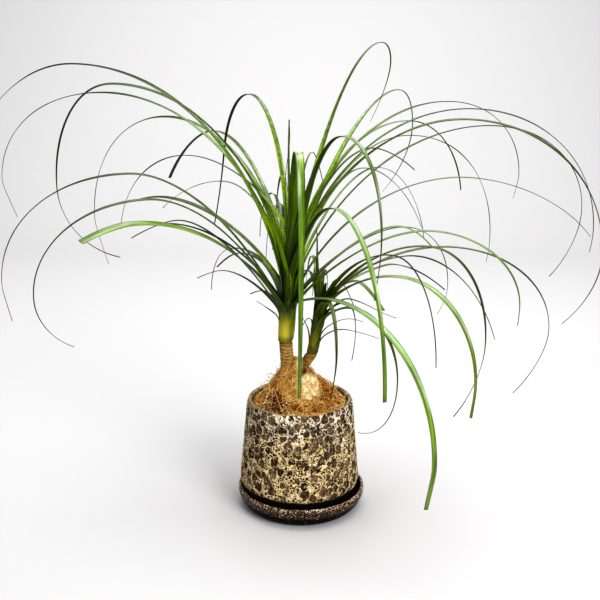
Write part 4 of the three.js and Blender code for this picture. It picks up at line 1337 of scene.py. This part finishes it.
def blade_course(leaf, stem):
    """A blade's middle line in its own plane, from its clasping foot to its tip."""
    root_z = leaf.knots[0][1]
    foot_z = max(lowest_foot(stem), root_z - stem["clasp"])
    line = leaf_line(leaf.knots)
    hug = clasp_radius(leaf, stem, line[:, 1], 1.0)
    gap = line[:, 0] - hug
    eased = 0.5 * (line[:, 0] + hug + np.sqrt(gap ** 2 + 1.5))
    line[:, 0] = np.where(line[:, 0] < 25, eased, line[:, 0])
    clasps = root_z - foot_z > 4
    clasp_z = np.linspace(foot_z, root_z, 12, endpoint=False) if clasps else np.array([])
    clasp = np.stack([clasp_radius(leaf, stem, clasp_z, 1.0), clasp_z], axis=1)
    whole = respaced(np.concatenate([clasp, line]), BLADE_STEP)
    for _ in range(3):
        whole[1:-1] = 0.5 * whole[1:-1] + 0.25 * (whole[:-2] + whole[2:])

    length = travelled(whole)
    root_at = length[np.argmin(np.hypot(*(whole - line[0]).T))] if clasps else 0.0
    free = length[-1] - root_at
    along = np.clip((length - root_at) / free, 0, 1)
    below = np.clip((root_at - length) / root_at, 0, 1) if root_at else np.zeros(len(length))
    return Course(whole, length, free, along, below, smooth(below, 0, 1))


def blade_axes(leaf, stem, course, sway, twist):
    """A blade's bearing and middle line in space, and its ways ahead, sideways and inward."""
    phi = math.radians(leaf.bearing)
    outward = np.array([math.cos(phi), math.sin(phi), 0.0])
    across = np.array([-math.sin(phi), math.cos(phi), 0.0])
    reach, height = course.points.T
    middle = outward[None] * reach[:, None]
    root_x = axis_x(stem, leaf.knots[0][1])
    middle[:, 0] += np.where(course.below > 0, axis_x(stem, height), root_x)
    middle[:, 1] += stem["y"]
    middle[:, 2] = height
    swing = BLADE_SWAY * sway * abs(outward[0]) * (course.free / 500)
    middle += across[None] * (swing * course.along ** 2)[:, None]

    forward = np.gradient(course.points, axis=0)
    forward /= np.linalg.norm(forward, axis=1, keepdims=True)
    ahead = outward[None] * forward[:, :1]
    ahead[:, 2] = forward[:, 1]
    turn = BLADE_TWIST * twist if leaf.roll is None else math.radians(leaf.roll)
    roll = (turn * smooth(course.along, 0, 0.7))[:, None]
    side = across[None] * np.cos(roll) + np.cross(ahead, across[None]) * np.sin(roll)
    return outward, middle, ahead, side, np.cross(ahead, side)


def blade_section(leaf, stem, course, draws):
    """Cross sections of a blade: each point's place across it, its face and its three offsets."""
    along, clasping = course.along, course.clasping
    half = 0.5 * leaf_width(leaf, along) / CURLED_WIDTH
    half = np.maximum(half, BLADE_LEAST_HALF)
    wrap = CLASP_CURL * clasp_radius(leaf, stem, course.points[:, 1], 1.5)
    half = lerp(half, np.maximum(half, wrap), clasping)
    bend = lerp(BLADE_CURL * (1 - 0.35 * along), CLASP_CURL, clasping)
    curve = bend / half
    thick = lerp(BLADE_THICK, BLADE_THIN, along) * lerp(1.0, 0.55, clasping)

    upper = np.linspace(-1, 1, BLADE_COLUMNS + 1)
    lower = np.linspace(1, -1, BLADE_COLUMNS - 1)[1:-1]
    t = np.concatenate([upper, lower])
    face = np.concatenate([np.ones(len(upper)), -np.ones(len(lower))])
    angle = t[None] * bend[:, None]
    sideways = np.sin(angle) / curve[:, None]
    rise = (1 - np.cos(angle)) / curve[:, None]
    keel = 0.35 * (1 - clasping[:, None]) * (np.abs(t[None]) * 0.33 * half[:, None] - rise)
    body = 0.5 * thick[:, None] * (1 - 0.7 * t[None] ** 2) * face[None]
    lift = rise + keel + body
    slant = np.zeros(lift.shape)
    if leaf.tip > CUT_TIP:
        slant[-1] = t * draws.uniform(-0.35, 0.35) * half[-1]
    ruffle = 0.25 * np.sin(course.length / 23 + draws.uniform(0, 6.28)) * np.clip(along * 4, 0, 1)
    lift += t[None] * ruffle[:, None]
    return t, face, sideways, lift, slant


def blade_tones(leaf, stem, along, draws):
    """How fresh a leaf is in its outer part, and at each share of its length."""
    age = float(smooth(leaf.knots[0][1] - stem["z0"], 26, 100))
    tone = age * 0.5 + 0.18 + draws.uniform(-0.12, 0.16)
    outer_tone = 0.2 * tone
    if leaf.tone is not None:
        tone, outer_tone = leaf.tone, leaf.outer_tone
    return outer_tone, lerp(tone, outer_tone, smooth(along, 0.15, 0.65))


def build_blade(leaf, stem, sway, twist, draws):
    """One blade: it clasps the stem, then channels, arches, sways and tapers, in millimetres."""
    course = blade_course(leaf, stem)
    outward, middle, ahead, side, inner_side = blade_axes(leaf, stem, course, sway, twist)
    t, face, sideways, lift, slant = blade_section(leaf, stem, course, draws)
    points = middle[:, None] + side[:, None] * sideways[:, :, None]
    points = points + inner_side[:, None] * lift[:, :, None] + ahead[:, None] * slant[:, :, None]

    along, reach = course.along, course.points[:, 0]
    up = middle[:, 2] - stem["z0"]
    outer_tone, tones = blade_tones(leaf, stem, along, draws)
    lit_up, lit_reach, hollow_up, hollow_reach = 122, 42, 56, 20
    # painted light: the feet of young leaves above the hollow turn fresher and a little paler, as
    # if lit through
    lit_foot = np.zeros(len(up))
    if outward[1] > -0.5:
        lit_foot = stem["lit"] * hump(up, lit_up, lit_reach) * (1 - smooth(reach, 20, 50))
    tones = tones + 0.85 * lit_foot
    # painted sheen: upper faces that turn up, on leaves bending towards the right and front, take
    # the pale mint of the lights' reflection
    painted_sheen = smooth(inner_side[:, 2], 0.4, 0.92) * smooth(along, 0.08, 0.3)
    painted_sheen = painted_sheen * min(1.0, 1.5 * outer_tone) * smooth(outward[0], -0.3, 0.3)
    painted_sheen = painted_sheen * (1 - 0.6 * smooth(along, 0.5, 0.8))
    on_stem = 1 - smooth(reach, 12, 22)
    pale = (1 - smooth(up, 14, 44)) * on_stem * stem["paleness"]
    pale = np.maximum(pale, 0.06 * lit_foot)
    cut = leaf.tip > CUT_TIP
    dry_from = 0.99 if cut else draws.uniform(0.72, 0.92)
    dry = smooth(along, dry_from, 1.0) * (0.6 if cut else 0.75)
    dead_foot = stem["sheath"][0][0] + 7 + 2 * draws.random()
    dry = np.maximum(dry, smooth(dead_foot - middle[:, 2], 0, 5) * 0.65 * on_stem)
    # painted shade in the hollow among the lowest leaves, near the stem
    shaded = stem["hollow"] * hump(up, hollow_up, hollow_reach) * (1 - smooth(reach, 10, 26))

    def spread(values):
        return np.repeat(np.asarray(values, float), len(t))

    # the leaf bases are palest at the front and greener to the sides, most of all to the right
    turned_right = (points[:, :, 0] - axis_x(stem, points[:, :, 2])).ravel() / 9
    olive = 1 - 0.75 * smooth(turned_right, -0.1, 0.6) - 0.3 * smooth(-turned_right, 0.55, 1.0)
    underside = np.tile((face < 0) * 1.0, len(up))
    values = {
        "blade": np.stack([np.tile(t, len(up)), spread(course.length * MM), spread(tones)], axis=1),
        "blade_age": np.stack([spread(pale) * olive, spread(dry), underside], axis=1),
        "blade_shade": spread(shaded),
        "blade_painted_sheen": spread(painted_sheen),
    }
    return points.reshape(-1, 3) * MM, capped_faces(len(up), len(t)), values


def sheath_ribs(turns, z):
    return 1 + 0.03 * np.sin(7 * turns + z / MM * 0.1)


def sheath_core(stem):
    """Body of tightly rolled young leaves inside the clasping bases."""
    stations = []
    for z, radius in stem["sheath"]:
        stations.append((axis_x(stem, z) * MM, stem["y"] * MM, z * MM, max(radius - 0.8, 0.8) * MM))
    points, faces = tube_mesh(stations, sides=28, shape=sheath_ribs)
    up = points[:, 2] / MM - stem["z0"]
    pale = (1 - smooth(up, 14, 44)) * stem["paleness"]
    angle = np.arctan2(points[:, 1], points[:, 0] - stem["x0"] * MM)
    ones = np.ones(len(points))
    values = {
        "blade": np.stack([angle, points[:, 2], 0.35 * ones], axis=1),
        # painted shade: the core counts as an underside and takes a share of the shade colour
        "blade_age": np.stack([pale, 0.65 * (1 - smooth(up, 3, 8)), ones], axis=1),
        "blade_shade": 0.3 * ones,
        "blade_painted_sheen": 0 * ones,
    }
    return points, faces, values


def build_crown(crown, material):
    stem = CROWNS[crown]
    chance = random_from(stem["seed"] + SWAY_SEED)
    draws = random.Random(stem["seed"])
    parts = [sheath_core(stem)]
    for leaf in LEAVES[crown] + back_leaves(crown):
        sway, twist = 2 * next(chance) - 1, 2 * next(chance) - 1
        parts.append(build_blade(leaf, stem, sway, twist, draws))
    points, faces = joined([(points, faces) for points, faces, _ in parts])
    values = {key: np.concatenate([v[key] for _, _, v in parts]) for key in parts[0][2]}
    piece = place_mesh(crown + "_leaves", points, faces, material, values, sharp=50)
    return [(piece, crown + "_crown", "leaf" if crown == "main" else "leaf_side")]


# ---------------------------------------------------------------------------
# Stage
# ---------------------------------------------------------------------------

SENSOR_WIDTH = 36   # millimetres


def build_sweep(colour):
    """Pale floor that curves up into a backdrop, far behind."""
    width, near, bend, high, drop = 2.1, -2.0, 1.6, 3.4, 0.0002
    profile = [(near, 0.0), (bend, 0.0)]
    profile += [(bend + math.sin(t), 1 - math.cos(t)) for t in np.linspace(0.05, math.pi / 2, 24)]
    profile.append((bend + 1.0, high))
    points = [(side * width, y, z - drop) for y, z in profile for side in (-1, 1)]
    faces = [(i, i + 1, i + 3, i + 2) for i in range(0, 2 * len(profile) - 2, 2)]
    material, _, shader = new_material("studio_paper")
    shader.inputs["Base Color"].default_value = colour
    shader.inputs["Roughness"].default_value = 0.9
    sweep = place_mesh("studio_sweep", points, faces, material)


def add_light(name, place, aim, power, size):
    data = bpy.data.lights.new(name, "AREA")
    data.shape, data.size, data.energy = "SQUARE", size, power
    lamp = bpy.data.objects.new(name, data)
    lamp.location = place
    lamp.rotation_euler = (Vector(aim) - Vector(place)).to_track_quat("-Z", "Y").to_euler()
    bpy.context.scene.collection.objects.link(lamp)


def studio_air(view):
    """Soft light from all round, with a pale room to be seen past the edge of the sweep."""
    world = bpy.data.worlds.new("studio_air")
    world.use_nodes = True
    nodes, links = world.node_tree.nodes, world.node_tree.links
    light = nodes["Background"]
    light.inputs["Color"].default_value = rgb(250, 251, 255)
    light.inputs["Strength"].default_value = view.air
    room = nodes.new("ShaderNodeBackground")
    room.inputs["Color"].default_value = view.room
    share = nodes.new("ShaderNodeMixShader")
    links.new(nodes.new("ShaderNodeLightPath").outputs["Is Camera Ray"], share.inputs[0])
    links.new(light.outputs[0], share.inputs[1])
    links.new(room.outputs[0], share.inputs[2])
    links.new(share.outputs[0], nodes["World Output"].inputs["Surface"])
    return world


def add_camera(view):
    pitch, roll = view.pitch, view.roll
    forward = Vector((0, math.cos(pitch), -math.sin(pitch)))
    right = Vector((1, 0, 0))
    up = right.cross(forward)
    across = right * math.cos(roll) + up * math.sin(roll)
    above = up * math.cos(roll) - right * math.sin(roll)
    data = bpy.data.cameras.new("viewpoint")
    data.lens, data.sensor_width = view.lens, SENSOR_WIDTH
    camera = bpy.data.objects.new("viewpoint", data)
    bpy.context.scene.collection.objects.link(camera)
    turn = Matrix((across, above, -forward)).transposed()
    camera.matrix_world = Matrix.Translation(view.position) @ turn.to_4x4()
    bpy.context.scene.camera = camera


# ---------------------------------------------------------------------------
# Settings, operators and panel
# ---------------------------------------------------------------------------

def length(name, description, default):
    return bpy.props.FloatProperty(
        name=name, description=description, default=default, min=0, unit="LENGTH", precision=4
    )


def count(name, description, default):
    return bpy.props.IntProperty(name=name, description=description, default=default, min=1)


def power(name, description, default):
    return bpy.props.FloatProperty(
        name=name, description=description, default=default, min=0, unit="POWER"
    )


def paint(name, description, colour):
    return bpy.props.FloatVectorProperty(
        name=name, description=description, default=colour, size=4, min=0, max=1, subtype="COLOR"
    )


class StageSettings(bpy.types.PropertyGroup):
    position: bpy.props.FloatVectorProperty(
        name="Camera", description="Where the camera stands",
        default=(-0.0035, -0.963, 0.512), subtype="TRANSLATION",
    )
    pitch: bpy.props.FloatProperty(
        name="Pitch", description="How far the camera looks down",
        default=math.radians(14.4), subtype="ANGLE",
    )
    roll: bpy.props.FloatProperty(
        name="Roll", description="How far the camera leans",
        default=math.radians(0.5), subtype="ANGLE",
    )
    lens: bpy.props.FloatProperty(
        name="Lens", description="Focal length on a 36 mm sensor",
        default=49.2, min=10, unit="CAMERA",
    )
    overhead_power: power("Overhead light", "Power of the light over the plant", 13)
    window_power: power("Window light", "Power of the light at the right of the camera", 36)
    side_power: power("Side light", "Power of the light at the left", 6)
    backdrop_power: power("Backdrop light", "Power of the light on the backdrop", 104)
    air: bpy.props.FloatProperty(
        name="Air", description="Strength of the light from all round", default=0.26, min=0
    )
    paper: paint("Paper", "Colour of the floor and backdrop", rgb(174, 173, 173))
    room: paint("Room", "Colour seen past the edge of the sweep", rgb(204, 203, 203))


class PotSettings(bpy.types.PropertyGroup):
    columns: count("Columns", "Faces round the pot", 384)
    seed: count("Seed", "Which scatter of craters is drawn", 4)
    relief: length("Relief", "Depth that the craters are sunk by", 1.0 * MM)
    lip_band: length("Lip band", "Height of the smooth band under the rim", 0.6 * MM)
    white_lace: paint("White lace", "Glaze threads near the rim", rgb(255, 244, 220))
    tan_lace: paint("Tan lace", "Glaze threads lower down", rgb(240, 216, 168))
    # also the colour of the painted shadow in the crater edges and the painted shade low on the
    # wall
    dark_stain_and_shade: paint("Dark stain", "Darkest body between the threads", rgb(30, 15, 0))
    stain_light: paint("Light stain", "Palest body between the threads", rgb(116, 88, 46))
    lip: paint("Lip", "Smooth glaze on the lip", rgb(146, 132, 102))
    pinhole: paint("Pinholes", "Inside of the pinholes", rgb(6, 2, 0))


class SaucerSettings(bpy.types.PropertyGroup):
    columns: count("Columns", "Faces round the saucer", 300)
    unevenness: length("Unevenness", "How far the hand-glazed rim wanders", 1.0 * MM)
    dark: paint("Glaze", "Near-black glaze", rgb(6, 5, 6))
    # the flecks also make the painted highlight along the rim's top edge
    fleck_and_glint: paint("Flecks", "Silvery flecks on the rim", rgb(214, 204, 188))


class CoirSettings(bpy.types.PropertyGroup):
    strands: count("Strands", "Strands that lie in the mat", 4600)
    straws: count("Straws", "Long pale strands on top", 150)
    tuft: count("Tuft", "Strands heaped beside the bulb", 700)
    clinging: count("Clinging strands", "Strands that cling to the bulb", 900)
    loose_ends: count("Loose ends", "Strands that spring up", 420)
    thickness: length("Thickness", "Thickest strand", 0.96 * MM)
    seed: count("Seed", "Which scatter of strands is drawn", 12)
    # also the painted shade of the mound between the strands
    dark: paint("Dark", "Damp fibre", rgb(84, 36, 2))
    rust: paint("Rust", "Most of the fibre", rgb(186, 110, 10))
    gold: paint("Gold", "Sunlit fibre", rgb(242, 182, 70))
    straw: paint("Straw", "Palest strands", rgb(255, 242, 186))


class StemSettings(bpy.types.PropertyGroup):
    skin: length("Skin", "Mesh size of the bark", 0.75 * MM)
    relief: length("Relief", "Depth of rings and wrinkles", 1.0 * MM)
    cream: paint("Cream", "Smooth skin of the bulb", rgb(222, 198, 140))
    cream_shade: paint("Cream shade", "Duller skin of the bulb", rgb(190, 156, 92))
    cork: paint("Cork", "Corky lines on the bulb", rgb(164, 126, 66))
    flake: paint("Flakes", "Palest flakes of the skin", rgb(255, 244, 214))
    moss: paint("Moss", "Fibrous skin under the trunk", rgb(146, 118, 48))
    flush: paint("Flush", "Rosy patch low on the bulb", rgb(226, 160, 116))
    wood: paint("Wood", "Trunk between its rings", rgb(174, 140, 70))
    wood_dark: paint("Dark wood", "Shaded grain of the trunk", rgb(120, 88, 32))
    # also the colour of the painted shade over the knee's lower end
    deep_wood_and_shade: paint("Deep wood", "Cracks and dead leaf bases", rgb(52, 32, 14))
    scar: paint("Scars", "Pale edges of the leaf scars", rgb(214, 182, 120))


class LeafSettings(bpy.types.PropertyGroup):
    fresh: paint("Fresh", "Young leaves at the centre", rgb(150, 186, 0))
    # also the painted light on the lit feet of the young leaves
    youngest: paint("Youngest", "Lit feet of the youngest leaves", rgb(180, 222, 14))
    mid: paint("Mid green", "Most of the leaves", rgb(94, 128, 0))
    deep: paint("Deep green", "Old and outer leaves", rgb(18, 28, 0))
    side_fresh: paint("Side fresh", "Young leaves of the side shoot", rgb(150, 172, 0))
    side_mid: paint("Side green", "Most leaves of the side shoot", rgb(98, 122, 0))
    side_deep: paint("Side deep", "Oldest leaves of the side shoot", rgb(22, 36, 0))
    # painted sheen: a pale mint colour that stands in for the lights' reflection
    painted_sheen: paint("Bloom", "Waxy bloom where a blade arches over", rgb(160, 190, 138))
    # painted shade: the colour that darkens the blades' undersides and the hollow among the lowest
    # leaves
    under: paint("Underside", "Back of the blades", rgb(36, 44, 0))
    # painted shade on the blades' margins
    edge: paint("Edge", "Dark margin of the blades", rgb(22, 36, 0))
    sheath: paint("Sheath", "Clasping leaf bases", rgb(212, 196, 62))
    sheath_vein: paint("Sheath veins", "Lines in the leaf bases", rgb(142, 138, 26))
    dry: paint("Dry", "Dry tips and dead bases", rgb(62, 44, 20))


def settle(pieces):
    """Each piece rides on the body and hides the solid that it stands for."""
    for piece, node, slot in pieces:
        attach(piece, "root")
        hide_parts(node)


class PALM_OT_stage(bpy.types.Operator):
    """Makes the pale floor and backdrop, the soft lights and the camera"""
    bl_idname = "palm.make_stage"
    bl_label = "Make Stage"

    def execute(self, context):
        view = context.scene.palm_stage
        add_camera(view)
        build_sweep(view.paper)
        crown = (0, 0, 0.3)
        add_light("overhead", (0.35, -0.45, 1.9), crown, view.overhead_power, 1.4)
        add_light("window", (1.1, -1.5, 1.25), crown, view.window_power, 1.0)
        add_light("side", (-1.5, -0.9, 1.4), (0, 0, 0.25), view.side_power, 1.0)
        add_light("backdrop_light", (0, 0.7, 2.8), (0, 2.5, 1.0), view.backdrop_power, 2.4)
        context.scene.world = studio_air(view)
        context.scene.view_settings.view_transform = "Standard"
        context.scene.view_settings.look = "High Contrast"
        return {"FINISHED"}


class PALM_OT_pot(bpy.types.Operator):
    """Makes the turned pot with its crater glaze"""
    bl_idname = "palm.make_pot"
    bl_label = "Make Pot"

    def execute(self, context):
        sizes = context.scene.palm_pot
        settle(build_pot(sizes, crater_glaze(sizes)))
        return {"FINISHED"}


class PALM_OT_saucer(bpy.types.Operator):
    """Makes the dark glazed saucer"""
    bl_idname = "palm.make_saucer"
    bl_label = "Make Saucer"

    def execute(self, context):
        sizes = context.scene.palm_saucer
        settle(build_saucer(sizes, saucer_glaze(sizes)))
        return {"FINISHED"}


class PALM_OT_soil(bpy.types.Operator):
    """Gives the packed soil its crumbly material"""
    bl_idname = "palm.dress_soil"
    bl_label = "Dress Soil"

    def execute(self, context):
        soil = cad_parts["soil"]
        soil.data.materials.clear()
        soil.data.materials.append(potting_soil())
        return {"FINISHED"}


class PALM_OT_coir(bpy.types.Operator):
    """Makes the mound of coconut fibre and its loose strands"""
    bl_idname = "palm.make_coir"
    bl_label = "Make Coir"

    def execute(self, context):
        sizes = context.scene.palm_coir
        strand = coir_fibre("coir_strands", sizes, depth=0.0001)
        mound = coir_fibre("coir_mound", sizes, depth=0.0015)
        settle(build_coir(sizes, strand, mound))
        return {"FINISHED"}


class PALM_OT_stem(bpy.types.Operator):
    """Makes the bulb, the ringed trunk and the side shoot's knee"""
    bl_idname = "palm.make_stem"
    bl_label = "Make Stem"

    def execute(self, context):
        sizes = context.scene.palm_stem
        settle(build_caudex(sizes, bark(sizes)))
        return {"FINISHED"}


class PALM_OT_leaves(bpy.types.Operator):
    """Makes the two crowns of arching leaves"""
    bl_idname = "palm.make_leaves"
    bl_label = "Make Leaves"

    def execute(self, context):
        look = context.scene.palm_leaves
        leaf = leaf_surface("leaf", look.fresh, look.mid, look.deep, look)
        settle(build_crown("main", leaf))
        leaf = leaf_surface("leaf_side", look.side_fresh, look.side_mid, look.side_deep, look)
        settle(build_crown("side", leaf))
        return {"FINISHED"}


class PALM_PT_panel(bpy.types.Panel):
    """Lists what can be made, with the sizes and colours of each"""
    bl_idname = "PALM_PT_panel"
    bl_label = "Ponytail Palm"
    bl_space_type = "VIEW_3D"
    bl_region_type = "UI"
    bl_category = "Palm"

    def draw(self, context):
        for operator, settings in STEPS:
            box = self.layout.box()
            box.operator(operator.bl_idname)
            if settings:
                group = getattr(context.scene, settings)
                for name in group.bl_rna.properties.keys():
                    if name not in ("rna_type", "name"):
                        box.prop(group, name)


STEPS = [
    (PALM_OT_stage, "palm_stage"),
    (PALM_OT_saucer, "palm_saucer"),
    (PALM_OT_pot, "palm_pot"),
    (PALM_OT_soil, None),
    (PALM_OT_coir, "palm_coir"),
    (PALM_OT_stem, "palm_stem"),
    (PALM_OT_leaves, "palm_leaves"),
]
SETTINGS = {
    "palm_stage": StageSettings,
    "palm_saucer": SaucerSettings,
    "palm_pot": PotSettings,
    "palm_coir": CoirSettings,
    "palm_stem": StemSettings,
    "palm_leaves": LeafSettings,
}


def register():
    for group in SETTINGS.values():
        bpy.utils.register_class(group)
    for operator, _ in STEPS:
        bpy.utils.register_class(operator)
    bpy.utils.register_class(PALM_PT_panel)
    for name, group in SETTINGS.items():
        setattr(bpy.types.Scene, name, bpy.props.PointerProperty(type=group))


def unregister():
    for name in SETTINGS:
        delattr(bpy.types.Scene, name)
    bpy.utils.unregister_class(PALM_PT_panel)
    for operator, _ in reversed(STEPS):
        bpy.utils.unregister_class(operator)
    for group in reversed(list(SETTINGS.values())):
        bpy.utils.unregister_class(group)


def main():
    register()
    make_speckle_group()
    make_mottle_group()
    make_streak_group()
    bpy.ops.palm.make_stage()
    bpy.ops.palm.make_saucer()
    bpy.ops.palm.make_pot()
    bpy.ops.palm.dress_soil()
    bpy.ops.palm.make_coir()
    bpy.ops.palm.make_stem()
    bpy.ops.palm.make_leaves()


if __name__ == "__main__":
    main()
